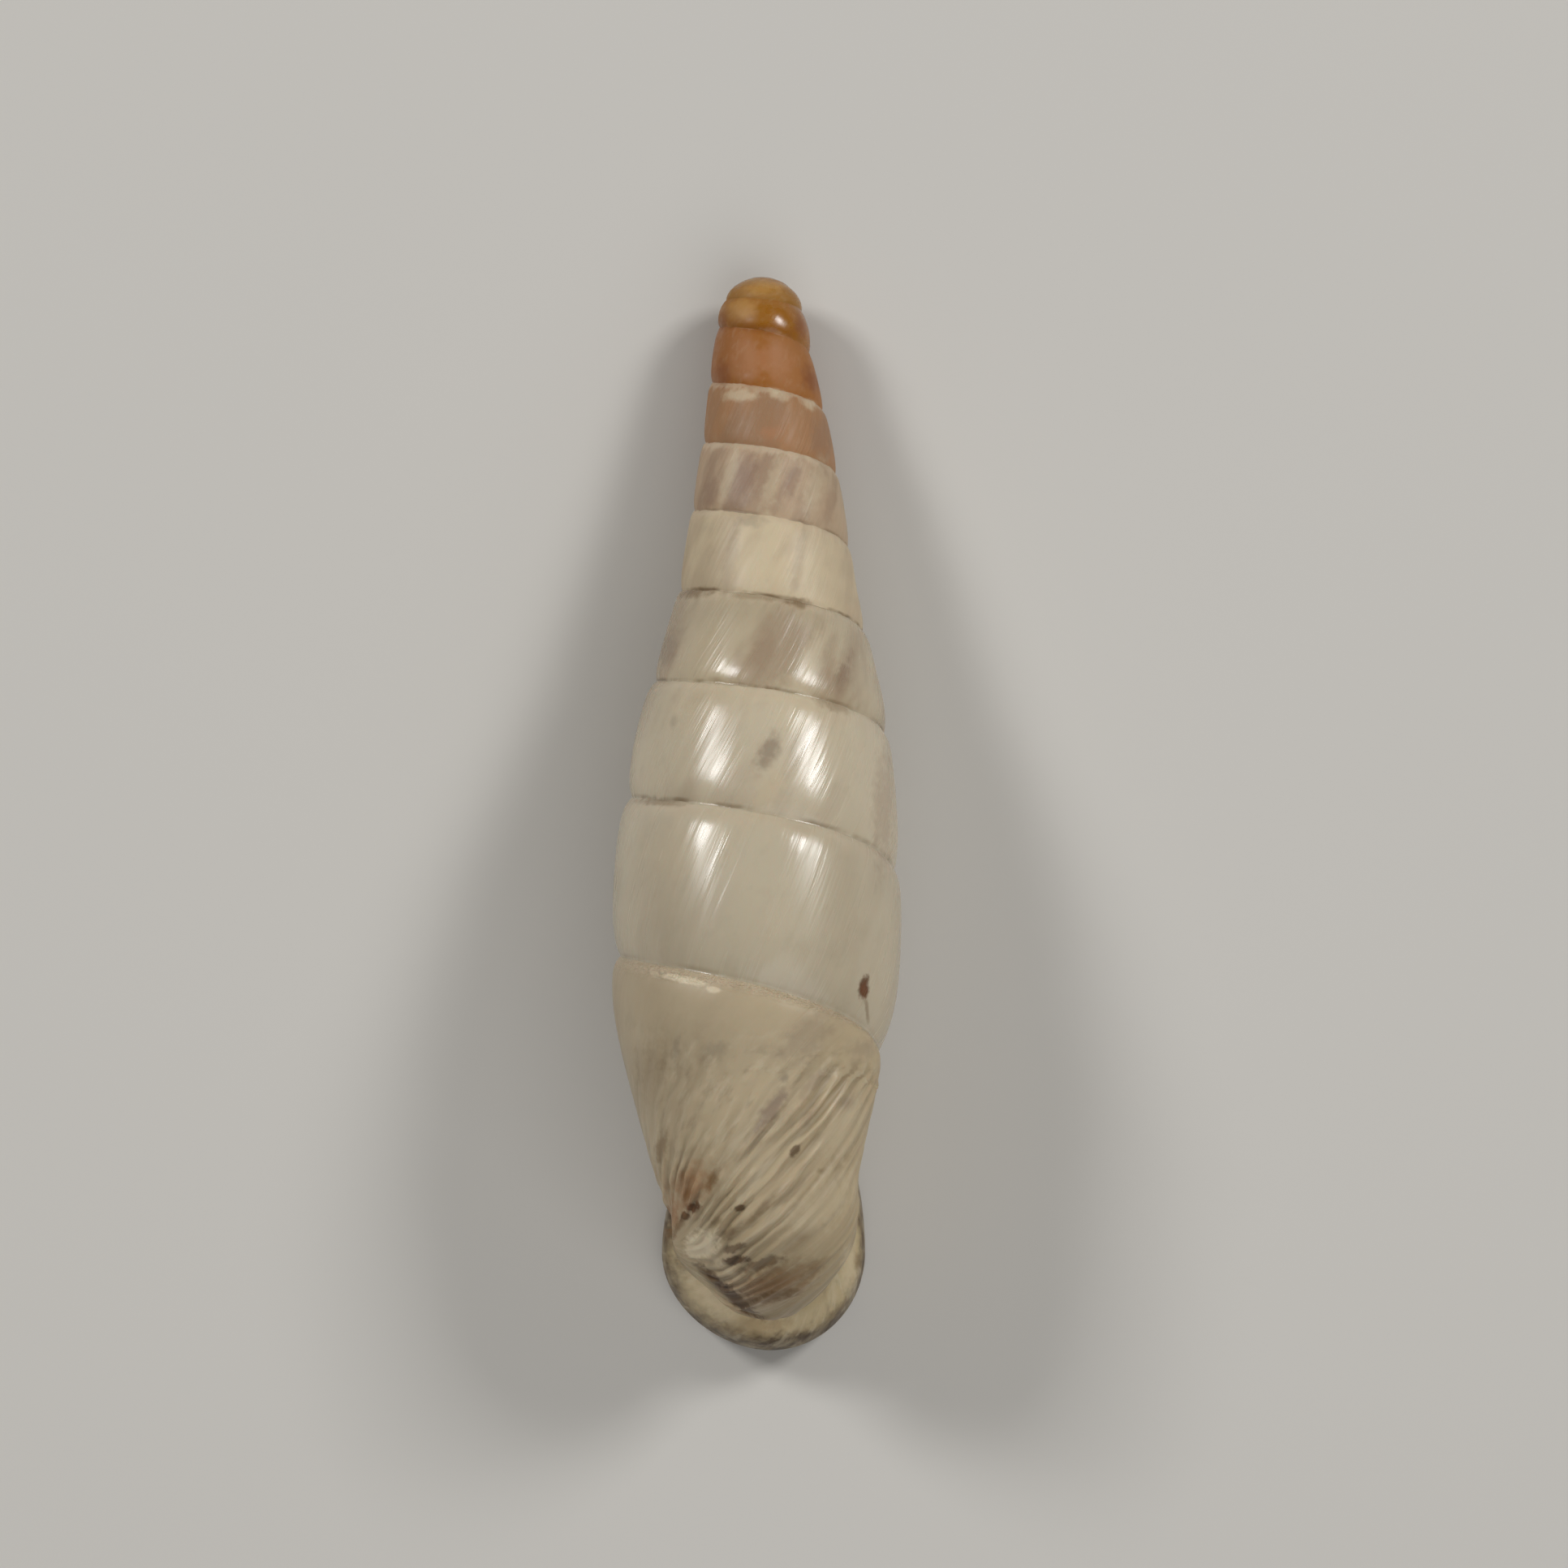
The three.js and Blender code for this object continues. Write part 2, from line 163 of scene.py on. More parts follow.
# Rings of the mouth: height against the axis, half width, reach below its centre, reach
# above it, centre to the right, centre down the axis, and how pointed its lower end is.
LIP_OUTSIDE = [
    (-0.5, 0.85, 0.8, 1.4, 0.34, 14.75, 1.2),
    (-1.5, 0.95, 0.9, 1.7, 0.34, 14.85, 1.2),
    (-2.05, 1.02, 0.98, 1.95, 0.3, 14.97, 1.15),
    (-2.28, 1.16, 1.12, 2.15, 0.24, 15.0, 1.1),
    (-2.36, 1.42, 1.36, 2.4, 0.1, 15.04, 1.05),
    (-2.52, 1.56, 1.47, 2.52, 0.04, 15.06, 1.05),
    (-2.8, 1.61, 1.51, 2.55, 0.03, 15.06, 1.05),
    (-3.12, 1.61, 1.51, 2.55, 0.03, 15.06, 1.05),
    (-3.25, 1.55, 1.46, 2.49, 0.03, 15.05, 1.05),
]
PASSAGE = [
    (-0.75, 0.4, 0.4, 0.6, 0.34, 14.6, 1),
    (-0.95, 0.58, 0.55, 0.95, 0.34, 14.7, 1.1),
    (-1.4, 0.7, 0.66, 1.3, 0.34, 14.8, 1.1),
    (-1.9, 0.8, 0.76, 1.55, 0.32, 14.9, 1.1),
    (-2.3, 0.92, 0.88, 1.75, 0.26, 14.97, 1.05),
    (-2.75, 1.16, 1.1, 2.05, 0.12, 15.03, 1.05),
    (-3.25, 1.44, 1.35, 2.38, 0.03, 15.05, 1.05),
    (-3.61, 1.5, 1.4, 2.44, 0.03, 15.01, 1.05),
]
LIP_LEAN = 0.26
LIP_FOOT_LEAN = 0.12
LIP_SLOPE = 0.12
LIP_ARCH = 0.12
# How far and how often the crease between the lip and the neck is smoothed.
JOIN_REACH = 0.14
JOIN_ROUNDS = 12
# The two lamellae in the mouth: middle, half sizes, and lean about the height axis.
LAMELLAE = [
    ((0.5, -13.3, -1.9), (0.09, 0.45, 0.8), -12),
    ((-0.4, -14.75, -1.75), (0.32, 0.09, 0.65), 20),
]

# How the shell lies: stretched along its axis by what the pitch shortens, pitched up onto its
# lip, and moved over the middle of its frame.
AXIS_STRETCH = 1.012
RESTING_PITCH = math.radians(-9.3229)
REST_ACROSS = 0.0734
REST_ALONG = 8.5313

# Fineness of the meshes.
COLUMNS = 256
WHORL_ROWS = 16
ROW_CROWDING = 0.75
NECK_ROWS = 64
LIP_POINTS = 160
LIP_LEVELS = 60
PASSAGE_LEVELS = 44
LAMELLA_POINTS = 40

# Where the lip and the passage lie along the first axis of the growth map, which holds the
# turn, and from where on it a place counts as theirs.
LIP_PLACE = 10
PASSAGE_PLACE = 12
ON_LIP = LIP_PLACE - 0.1
IN_MOUTH = PASSAGE_PLACE - 0.1

# Colours along the growth of the shell, by turn, as 8-bit display values.
GROWTH_COLOURS = [
    (-1.0, (146, 98, 26)),
    (0.3, (154, 106, 30)),
    (1.2, (154, 100, 22)),
    (2.0, (152, 90, 20)),
    (2.6, (166, 106, 40)),
    (2.85, (166, 120, 76)),
    (3.3, (165, 119, 76)),
    (3.8, (170, 132, 98)),
    (4.05, (184, 156, 126)),
    (4.8, (190, 168, 138)),
    (5.1, (208, 190, 156)),
    (5.45, (215, 196, 163)),
    (5.9, (197, 181, 152)),
    (6.3, (192, 177, 149)),
    (6.8, (196, 182, 155)),
    (7.3, (206, 193, 167)),
    (8.2, (199, 187, 162)),
    (9.0, (182, 166, 138)),
    (9.4, (189, 170, 135)),
    (9.75, (168, 149, 114)),
]
# How rough the surface is by turn: glossy at the tip and on the large whorls.
GROWTH_ROUGHNESS = [
    (-1.0, 0.2), (1.6, 0.22), (2.2, 0.36), (3.0, 0.5), (5.4, 0.46), (6.0, 0.2), (8.6, 0.18),
    (9.2, 0.45),
]
# How strongly mauve and pale streaks, the pale edge of the suture and its line of dirt and painted
# shade show by turn.
MAUVE_STRENGTH = [
    (2.6, 0.0), (3.2, 0.3), (4.2, 0.55), (4.9, 0.3), (5.6, 0.25), (6.3, 0.45), (6.9, 0.3),
    (7.6, 0.15), (8.6, 0.1), (9.2, 0.1),
]
PALE_STRENGTH = [(3.4, 0.0), (4.2, 0.25), (5.4, 0.2), (5.9, 0.14), (9.75, 0.14)]
SUTURE_EDGE_STRENGTH = [
    (2.7, 0.0), (2.85, 0.6), (3.6, 0.5), (4.0, 0.75), (5.0, 0.75), (5.8, 0.35), (8.6, 0.3),
    (8.8, 0.6), (9.75, 0.5),
]
DIRT_AND_SHADE_STRENGTH = [
    (3.0, 0.0), (4.4, 0.45), (5.2, 0.8), (7.0, 0.7), (7.5, 0.4), (8.2, 0.3), (8.5, 0.1),
    (8.76, 0.0),
]
# How far the streaks lean over a whorl, in turns, and how rough their noise is.
STREAK_LEAN = 0.07
STREAK_ROUGHNESS = 0.6
# Kinds of streaks: lines per turn, changes along a line, low and high end of the mask, seed.
STREAKS = {
    "mauve": (10, 0.5, 0.45, 0.62, 4),
    "pale": (26, 1, 0.45, 0.85, 5),
    "dull": (3, 0.8, 0.4, 0.7, 9),
    "edge teeth": (38, 0, 0.3, 0.7, 2),
    "uneven edge": (9, 0, 0.3, 0.6, 31),
    "broken dirt and shade": (14, 0, 0.42, 0.6, 7),
    "dirty shaded furrows": (12, 1.6, 0.42, 0.66, 11),
    "dull flecks": (40, 5, 0.5, 0.72, 37),
    "pale flecks": (50, 4, 0.5, 0.72, 41),
    "shaded lip edge": (30, 6, 0.35, 0.65, 13),
    "uneven gloss": (50, 0.8, 0.35, 0.75, 17),
    "fine lines": (150, 0.8, 0.2, 0.8, 19),
    "coarse lines": (80, 0.6, 0.3, 0.7, 23),
    "crinkles": (110, 18, 0.3, 0.7, 43),
}

# Where flecks come in on the last whorl, by turn and share, and the neck's edge, as a share.
NECK_LOOK_TURNS = (8.8, 9.1)
NECK_LOOK_SHARES = (0.3, 1.0)
NECK_EDGE = (0.99, 1.01)
# The turns over which dull streaks, streaks of gloss, growth lines and crinkles come in.
DULL_TURNS = (1.5, 3.0)
GLOSS_TURNS = (2.0, 3.0)
LINE_TURNS = (2.2, 3.4)
CRINKLE_TURNS = (8.6, 8.8)
# The pale edge under the sutures: its least and added depth, how it fades over that depth, and
# its least and added strength.
EDGE_DEPTH = (0.05, 0.12)
EDGE_FADE = (0.4, 1.25)
EDGE_STRENGTH = (0.3, 0.7)
# The line of dirt and painted shade in the crease above and below a suture, and the crinkles below it,
# as shares of the whorl.
DIRT_AND_SHADE_ABOVE = (0.955, 0.99)
DIRT_AND_SHADE_BELOW = (0.0, 0.015)
CRINKLES_BELOW = (0.05, 0.16)
# The heights on a rib where its pale crest and, downwards, its furrow darkened with dirt and painted
# shade come in.
RIB_CREST = (0.45, 0.95)
RIB_FURROW = (0.5, 0.1)
# Where the lip's outer edge darkens, out from its foot, how fine and how ragged that line is, and
# the least and the added strength of the darkening: painted shade where the rim curls away, with dirt.
LIP_EDGE_SHADE_FROM = (0.45, 0.62)
LIP_EDGE_SHADE_GRAIN = 5000.0
LIP_EDGE_SHADE_RAGGEDNESS = 0.3
LIP_EDGE_SHADE_STRENGTH = (0.55, 0.45)
# How strong each of these shows. Flecks have a strength everywhere and more on neck and lip.
DULL_STRENGTH = 0.22
CREST_STRENGTH = 0.65
FURROW_STRENGTH = 0.6
FLECK_STRENGTH = (0.08, 0.35)
GLOSS_STRENGTH = 0.16
# Heights of the growth lines and of the crinkles, as shares of the line depth.
FINE_LINES = 0.2
COARSE_LINES = 0.8
LINES_AT_TIP = 0.15
CRINKLE_HEIGHT = 5.4
# How much the shell bends light, and how much of it spreads inside the shell and how far, in mm.
REFRACTION = 1.55
SPREAD_SHARE = 0.12
SPREAD_REACH = 0.4

# Marks seen from above: across, along, length, width in mm, direction in degrees, strength
# and kind.
MARKS = [
    (1.68, -2.68, 0.28, 0.14, 85, 0.95, "dark"),
    (1.68, -2.7, 0.26, 0.12, 85, 0.5, "umber"),
    (1.73, -3.06, 0.36, 0.05, 97, 0.5, "brown"),
    (0.61, -5.23, 0.19, 0.1, 48, 0.75, "dark"),
    (1.0, -5.55, 0.09, 0.08, 0, 0.4, "brown"),
    (-0.68, -5.68, 0.31, 0.12, 66, 0.75, "brown"),
    (-0.98, -6.12, 0.22, 0.15, 20, 1, "dark"),
    (-1.13, -6.28, 0.19, 0.12, 35, 0.95, "dark"),
    (-1.09, -5.95, 0.23, 0.1, 62, 0.65, "brown"),
    (-0.27, -6.12, 0.19, 0.09, 12, 0.8, "dark"),
    (-1.49, -5.21, 0.45, 0.16, 80, 0.6, "brown"),
    (-1.4, -6.28, 0.24, 0.12, 80, 0.7, "brown"),
    (-0.63, -3.65, 0.33, 0.2, 20, 0.35, "grey"),
    (-1.26, -3.62, 0.33, 0.1, 75, 0.35, "grey"),
    (0.44, -4.09, 0.15, 0.09, 45, 0.5, "grey"),
    (0.22, -4.6, 0.7, 0.22, 56, 0.75, "mauve"),
    (0.86, -4.22, 0.61, 0.15, 50, 0.4, "mauve"),
    (0.8, -4.71, 0.43, 0.15, 50, 0.35, "mauve"),
    (1.39, -4.5, 0.22, 0.18, 0, 0.45, "mauve"),
    (1.67, -3.66, 0.38, 0.26, 0, 0.3, "mauve"),
    (0.05, -6.17, 0.51, 0.1, 45, 0.5, "brown"),
    (-0.43, -6.54, 0.33, 0.15, 38, 0.6, "brown"),
    (-0.65, -6.36, 0.2, 0.1, 30, 0.45, "brown"),
    (-0.35, -6.77, 0.33, 0.12, 20, 0.7, "dark"),
    (-0.35, -6.97, 0.43, 0.12, 12, 0.9, "dark"),
    (0.11, -7.01, 0.59, 0.15, 18, 0.6, "dark"),
    # The next three marks darken the hollow beside the keel above the lip: dirt and painted shade.
    (0.38, -7.28, 0.9, 0.45, 22, 0.5, "brown"),
    (0.1, -7.42, 1.1, 0.5, 15, 0.35, "rust"),
    (0.3, -7.54, 0.64, 0.14, 12, 0.75, "brown"),
    # The next two marks darken the crease between neck and lip: dirt and painted shade.
    (-0.46, -7.5, 1.1, 0.17, -42, 0.9, "dark"),
    (-0.16, -7.66, 0.31, 0.17, -30, 0.65, "brown"),
    (0.68, -6.63, 0.51, 0.17, 38, 0.4, "brown"),
    (0.94, -7.07, 0.46, 0.14, 40, 0.4, "brown"),
    (1.58, -7.09, 0.19, 0.08, 90, 0.6, "brown"),
    (-1.05, -5.81, 0.75, 0.42, 60, 0.55, "rust"),
    (1.31, 2.07, 0.59, 0.18, 70, 0.5, "mauve"),
    (-1.41, 2.61, 0.51, 0.2, 70, 0.4, "grey"),
    (-1.3, 1.47, 0.18, 0.1, 80, 0.35, "grey"),
    (0.1, 8.34, 0.51, 0.18, 5, 0.55, "honey"),
    (-0.24, 8.02, 0.4, 0.26, 15, 0.55, "honey"),
    (-0.55, 7.83, 0.28, 0.15, 80, 0.6, "umber"),
    (0.69, 7.75, 0.33, 0.15, 100, 0.6, "umber"),
    (0.07, 7.7, 0.9, 0.13, -8, 0.45, "umber"),
    (0.16, 7.21, 0.77, 0.43, -10, 0.45, "peach"),
    (-0.55, 6.98, 0.33, 0.2, 90, 0.6, "umber"),
    (0.88, 6.88, 0.38, 0.23, 110, 0.65, "umber"),
    (-0.26, 6.63, 0.46, 0.18, 0, 0.6, "cream"),
    (1.0, 5.93, 0.51, 0.26, 100, 0.45, "plum"),
    (-0.16, 5.3, 0.74, 0.28, 72, 0.65, "plum"),
    (0.55, 5.27, 0.51, 0.23, 72, 0.55, "plum"),
    (-0.74, 5.06, 0.43, 0.18, 76, 0.5, "plum"),
    (1.15, 4.85, 0.64, 0.15, 80, 0.35, "plum"),
    (-0.46, 5.3, 0.77, 0.15, 72, 0.45, "cream"),
    (0.23, 5.19, 0.77, 0.18, 72, 0.4, "cream"),
    (0.91, 5.17, 0.77, 0.23, 76, 0.4, "cream"),
    (0.1, 4.14, 1.02, 0.33, 78, 0.45, "cream"),
    (0.87, 3.89, 0.97, 0.28, 78, 0.4, "cream"),
    (-0.41, 4.02, 0.97, 0.16, 78, 0.2, "mauve"),
    (0.64, 3.89, 0.77, 0.16, 80, 0.25, "mauve"),
    (-0.09, 4.63, 0.38, 0.18, 0, 0.35, "grey"),
    (-0.97, 3.5, 0.43, 0.13, 6, 0.7, "brown"),
    (0.66, 3.33, 0.28, 0.13, -10, 0.65, "brown"),
    (0.15, 3.42, 1.1, 0.1, -6, 0.35, "brown"),
    (1.16, 1.73, 0.5, 0.14, -22, 0.65, "brown"),
    (-0.62, 2.1, 0.2, 0.1, -10, 0.5, "brown"),
    (0.34, 6.63, 0.28, 0.14, -20, 0.5, "cream"),
    (0.83, 6.48, 0.2, 0.14, -30, 0.55, "cream"),
    (0.23, 6.02, 0.28, 0.16, 0, 0.5, "peach"),
    (-1.33, 2.61, 0.64, 0.23, 76, 0.3, "plum"),
    (0.1, 2.55, 0.77, 0.33, 70, 0.25, "plum"),
    (1.33, 2.03, 0.77, 0.2, 78, 0.5, "plum"),
    (0.87, 2.42, 0.9, 0.28, 75, 0.35, "cream"),
    (1.1, 2.0, 0.56, 0.15, 75, 0.45, "plum"),
    (0.18, 0.97, 0.52, 0.26, 65, 0.6, "mauve"),
    (-0.8, 1.84, 1.2, 0.8, 20, 0.35, "cream"),
    (0.87, 1.71, 1.2, 0.8, -20, 0.35, "cream"),
    (-1.05, -0.46, 1.3, 0.8, 10, 0.2, "cream"),
    (-1.5, 0.2, 0.6, 0.1, -3, 0.5, "brown"),
    # Painted shade on the right flank of whorl 7.
    (2.0, 0.1, 1.5, 0.3, 88, 0.35, "plum"),
    (0.2, 0.4, 0.7, 0.34, 65, 0.45, "cream"),
    (0.8, -3.45, 0.9, 0.4, 40, 0.3, "mauve"),
    # The next two marks are painted light on the neck's lower right, which faces the lamps.
    (1.35, -4.9, 0.9, 0.5, 60, 0.3, "cream"),
    (1.0, -6.09, 1.1, 0.55, 50, 0.4, "cream"),
    # Painted shade on the neck's left side, where it turns away from the light.
    (-1.62, -4.0, 1.0, 0.45, 80, 0.2, "brown"),
    (-1.11, -2.57, 0.56, 0.1, -12, 0.7, "white"),
    (-0.67, -2.71, 0.2, 0.09, -10, 0.6, "white"),
    (-0.88, -6.73, 0.5, 0.36, 20, 0.85, "white"),
    (-0.5, -7.09, 0.51, 0.12, -42, 0.5, "cream"),
    (1.46, -7.21, 0.77, 0.2, 92, 0.5, "cream"),
    (-0.67, -7.69, 1.15, 0.31, -52, 0.5, "cream"),
    (-0.95, -7.7, 1.1, 0.34, -48, 0.35, "cream"),
    (0.0, -8.1, 0.9, 0.3, 4, 0.4, "brown"),
    (-1.33, -6.36, 0.45, 0.2, 75, 0.6, "rust"),
    (-1.23, -6.45, 0.43, 0.1, 55, 0.55, "brown"),
]
# Colour of each kind of mark, and how soft its edge is.
MARK_KINDS = {
    "dark": ((78, 48, 4), 0.5),
    "brown": ((108, 78, 30), 0.9),
    "mauve": ((132, 112, 94), 0.8),
    "grey": ((124, 112, 94), 0.8),
    "rust": ((152, 98, 46), 1.0),
    "umber": ((122, 60, 0), 1.0),
    "honey": ((190, 144, 78), 0.8),
    "peach": ((178, 124, 84), 0.8),
    "plum": ((140, 109, 86), 0.9),
    "cream": ((212, 196, 164), 0.8),
    "white": ((232, 216, 184), 0.5),
}

# Patches where the gloss is worn off, given as the marks are.
WORN_PATCHES = [
    (-0.3, 7.93, 0.5, 0.6, 90, 0.9),
    (-0.1, 8.2, 0.9, 0.25, 0, 0.9),
    (0.35, 8.16, 0.4, 0.16, 0, 0.8),
    (-0.3, 7.2, 0.7, 0.6, 90, 0.7),
    (0.5, 7.1, 0.9, 0.5, 90, 0.7),
]
WORN_ROUGHNESS = 0.4
MARK_RAGGEDNESS = 7000.0
# Marks stay above the lying shell's axis, given by its height at the frame's middle and its
# rise along the frame. Near the neck they reach lower, and on the lip nearly to its foot.
AXIS_HEIGHT = 2.17
AXIS_RISE = -0.164
NECK_MARKS_ALONG = (-5.5, -4.5)
NECK_MARKS_REACH = 0.7
LIP_MARKS_ALONG = (-6.6, -6.4)
LIP_MARKS_FROM = 0.4
ABOVE_ALL = 10.0
MARKS_END = (-0.05, 0.15)
# A mark's edge as a share of its size, and how far its softness spreads it in and out.
MARK_EDGE = 0.6
SOFT_INWARD = 0.5
SOFT_OUTWARD = 0.35

# The camera looks straight down. Its field shows the photographed width at the axis' height.
FIELD_WIDTH = 24.71
FIELD_ACROSS = 0.429
FIELD_ALONG = 0.486
CAMERA_HEIGHT = 200.0
SENSOR_WIDTH = 36.0
CLIP_START = 0.01

# The lights, in metres: two small ones at the sides give the highlights, a wide one is above.
SIDE_LIGHT_AWAY = 0.2
SIDE_LIGHT_ALONG = 0.15
SIDE_LIGHT_HEIGHT = 0.19
SIDE_LIGHT_SIZE = 0.08
OVERHEAD_PLACE = (0.15, -0.25, 0.42)
OVERHEAD_SIZE = 0.5
OVERHEAD_SHARE = 2
FLOOR_SIZE = 4
FLOOR_ROUGHNESS = 0.9
SKY_COLOUR = (1, 0.98, 0.95, 1)

# Places of the colours among the sockets of a colour Mix node.
COLOUR_BELOW = 6
COLOUR_ABOVE = 7
COLOUR_RESULT = 2


def tone(red, green, blue):
    """An 8-bit display colour as the linear colour that the shader takes."""
    shares = (value / 255 for value in (red, green, blue))
    linear = [v / 12.92 if v <= 0.04045 else ((v + 0.055) / 1.055) ** 2.4 for v in shares]
    return (*linear, 1.0)


DULL_STREAKS = tone(140, 126, 102)
DULL_FLECKS = tone(134, 116, 92)
PALE_FLECKS = tone(206, 192, 164)


def colour_setting(name, description, *shade):
    """A colour in the panel."""
    default = tone(*shade)[:3]
    return FloatVectorProperty(name=name, description=description, default=default, subtype="COLOR")


def length_setting(name, description, millimetres):
    """A length in the panel."""
    default = millimetres * MILLIMETRE
    return FloatProperty(name=name, description=description, default=default, unit="LENGTH")


class ShellShape(bpy.types.PropertyGroup):
    """Sizes of the shell's relief."""

    rib_height: length_setting("Rib height", "How high the ribs of the neck stand", 0.085)
    ribs_per_turn: IntProperty(
        name="Ribs per turn",
        description="How many ribs run down the neck in one turn",
        default=34,
        min=1,
    )
    rib_wander: FloatProperty(
        name="Rib wander",
        description="How unevenly the ribs are spaced, as a share of their spacing",
        default=2.2,
        min=0,
    )
    wave_height: length_setting(
        "Growth wave height", "How high the slow waves along the growth lines stand", 0.012
    )
    suture_wander: length_setting("Suture wander", "How far the sutures stray up and down", 0.03)
    seed: IntProperty(
        name="Seed",
        description="Chooses another pattern of waves and stray ribs",
        default=3,
    )


class ShellFinish(bpy.types.PropertyGroup):
    """Colours and gloss of the shell."""

    suture_colour: colour_setting(
        "Suture edge", "Colour of the pale edge under the upper sutures", 206, 186, 158
    )
    # Dirt and painted shade share this colour: it darkens the crease of each suture and the furrows
    # between the ribs.
    dirt_and_shade_colour: colour_setting(
        "Dirt", "Colour of the dirt along the sutures and between the ribs", 108, 84, 50
    )
    streak_colour: colour_setting(
        "Streaks", "Colour of the mauve streaks along the growth lines", 138, 110, 88
    )
    rib_colour: colour_setting("Rib crests", "Colour of the crests of the ribs", 194, 176, 143)
    lip_colour: colour_setting("Lip", "Colour of the flared lip", 186, 168, 130)
    # The lip's outer edge is darkened with painted shade where the rim curls away, and with dirt.
    lip_edge_colour: colour_setting("Lip edge", "Colour of the lip's worn outer edge", 78, 58, 34)
    passage_colour: colour_setting("Mouth", "Colour inside the mouth", 182, 152, 118)
    line_depth: length_setting("Growth line depth", "Depth of the fine growth lines", 0.005)


class StudioStage(bpy.types.PropertyGroup):
    """Floor and light of the studio."""

    floor_colour: colour_setting("Floor", "Colour of the plain floor", 212, 209, 203)
    key_power: FloatProperty(
        name="Key power",
        description="Power of each of the two soft lights",
        default=0.39,
        unit="POWER",
    )
    sky_strength: FloatProperty(
        name="Sky strength",
        description="Strength of the even light from all around",
        default=0.1,
        min=0,
    )


class Curve:
    """A smooth curve through points given as (x, y), with x rising."""

    def __init__(self, points):
        self.x, self.y = np.array(points, dtype=float).T
        count = len(self.x)
        before = np.maximum(np.arange(count) - 1, 0)
        after = np.minimum(np.arange(count) + 1, count - 1)
        self.slope = (self.y[after] - self.y[before]) / (self.x[after] - self.x[before])

    def __call__(self, at):
        i = np.clip(np.searchsorted(self.x, at) - 1, 0, len(self.x) - 2)
        span = self.x[i + 1] - self.x[i]
        s = np.clip((at - self.x[i]) / span, 0, 1)
        rise = (3 - 2 * s) * s * s
        bend = self.slope[i] * (s - 1) ** 2 * s + self.slope[i + 1] * (s - 1) * s * s
        return self.y[i] + (self.y[i + 1] - self.y[i]) * rise + span * bend


suture_down = Curve(SUTURE_DOWN)
crown_radius = Curve(BODY_RADIUS)
axis_sway = Curve(AXIS_SWAY)
groove_depth = Curve(GROOVE_DEPTH)


def even_curves(sections):
    """One curve for each column of a table whose rows are evenly spaced from 0 to 1."""
    places = np.linspace(0, 1, len(sections))
    return [Curve(list(zip(places, column))) for column in zip(*sections)]


neck_measures = even_curves(NECK_SECTIONS)


def smooth_step(at, start, end):
    """0 before start, 1 after end, and a smooth rise between them."""
    s = np.clip((at - start) / (end - start), 0, 1)
    return s * s * (3 - 2 * s)


def body_radius(down):
    """Radius over the crown, with a domed tip."""
    dome = TIP_RADIUS * np.sqrt(np.clip(down, 0, TIP_DOWN) / TIP_DOWN)
    return np.where(down < TIP_DOWN, dome, crown_radius(down))


def angle_of(turn):
    """The angle round the axis that the coil has reached."""
    return math.pi - 2 * math.pi * turn - HALF_FACET


def lower_groove(turn):
    """Depth of the groove at a whorl's lower edge, which fades out on the last whorl."""
    from_end = np.minimum(turn - STRIP_TURNS, LAST_TURN - turn)
    fading = groove_depth(LAST_TURN) * np.exp(-((from_end / SUTURE_FADE_TURNS) ** 2))
    return np.where(turn < STRIP_TURNS, groove_depth(turn + 1), fading)


def groove_reach(turn, reach):
    """Reach of a groove as a share of the whorl, wider near the tip."""
    return reach + (TIP_GROOVE_REACH - reach) * (1 - smooth_step(turn, *TIP_GROOVE_TURNS))


def whorl_place(turn, share):
    """Distance down and radius of a point, a share of the way down its whorl."""
    top = np.where(turn < 0, 0, suture_down(turn))
    bottom = suture_down(np.minimum(turn + 1, LAST_TURN))
    last_height = suture_down(LAST_TURN) - suture_down(STRIP_TURNS)
    height = np.where(turn < STRIP_TURNS, np.maximum(bottom - top, LEAST_HEIGHT), last_height)
    down = top + (bottom - top) * share
    shoulder = height * groove_reach(turn, SHOULDER)
    hem = height * groove_reach(turn + 1, HEM)
    upper = np.where(turn < 0, 0, groove_depth(turn)) * np.exp((top - down) / shoulder)
    lower = lower_groove(turn) * np.exp((down - bottom) / hem)
    return down, np.maximum(body_radius(down) - np.maximum(upper, lower), 0)


def disc_move(point, middle):
    """Moves the unit disc onto itself so that its middle goes to the given point."""
    return (point + middle) / (1 + np.conj(middle) * point)


def along_growth_line(angle, share):
    """Slides a point of the disc along its growth line, from the edge to the gathering point."""
    gather = GATHER_REACH * np.exp(1j * GATHER_ANGLE)
    return disc_move(share * disc_move(np.exp(1j * angle), -gather), gather)


def keel_push(place):
    """Height of the keel, a low crest from the gathering point down, and of the knob on it."""
    keel = GATHER_REACH * np.exp(1j * GATHER_ANGLE)
    along = np.clip((place * np.conj(keel)).real / abs(keel) ** 2, 0, KEEL_START)
    away = np.abs(place - along * keel)
    crest = KEEL_HEIGHT * np.exp(-((away / KEEL_WIDTH) ** 2))
    from_knob = np.abs(place - KNOB_PLACE * keel)
    return crest + KNOB_HEIGHT * np.exp(-((from_knob / KNOB_WIDTH) ** 2))


def neck_place(place):
    """Angle, distance down, middle and half sizes of the neck at a point of the disc."""
    reach = np.minimum(np.abs(place), 1)
    angle = np.angle(place) + GROWTH_TWIST * (1 - reach)
    down, centre, width, height, back, under = (curve(1 - reach) for curve in neck_measures)
    push = keel_push(place)
    depth = np.where(np.sin(angle) > 0, back, under)
    zero = np.zeros_like(down)
    middle = np.stack([centre, zero, height], axis=-1)
    half = np.stack([np.maximum(width, 0) + push, zero, np.maximum(depth, 0) + push], axis=-1)
    return angle, down + push * (1 - reach), middle, half


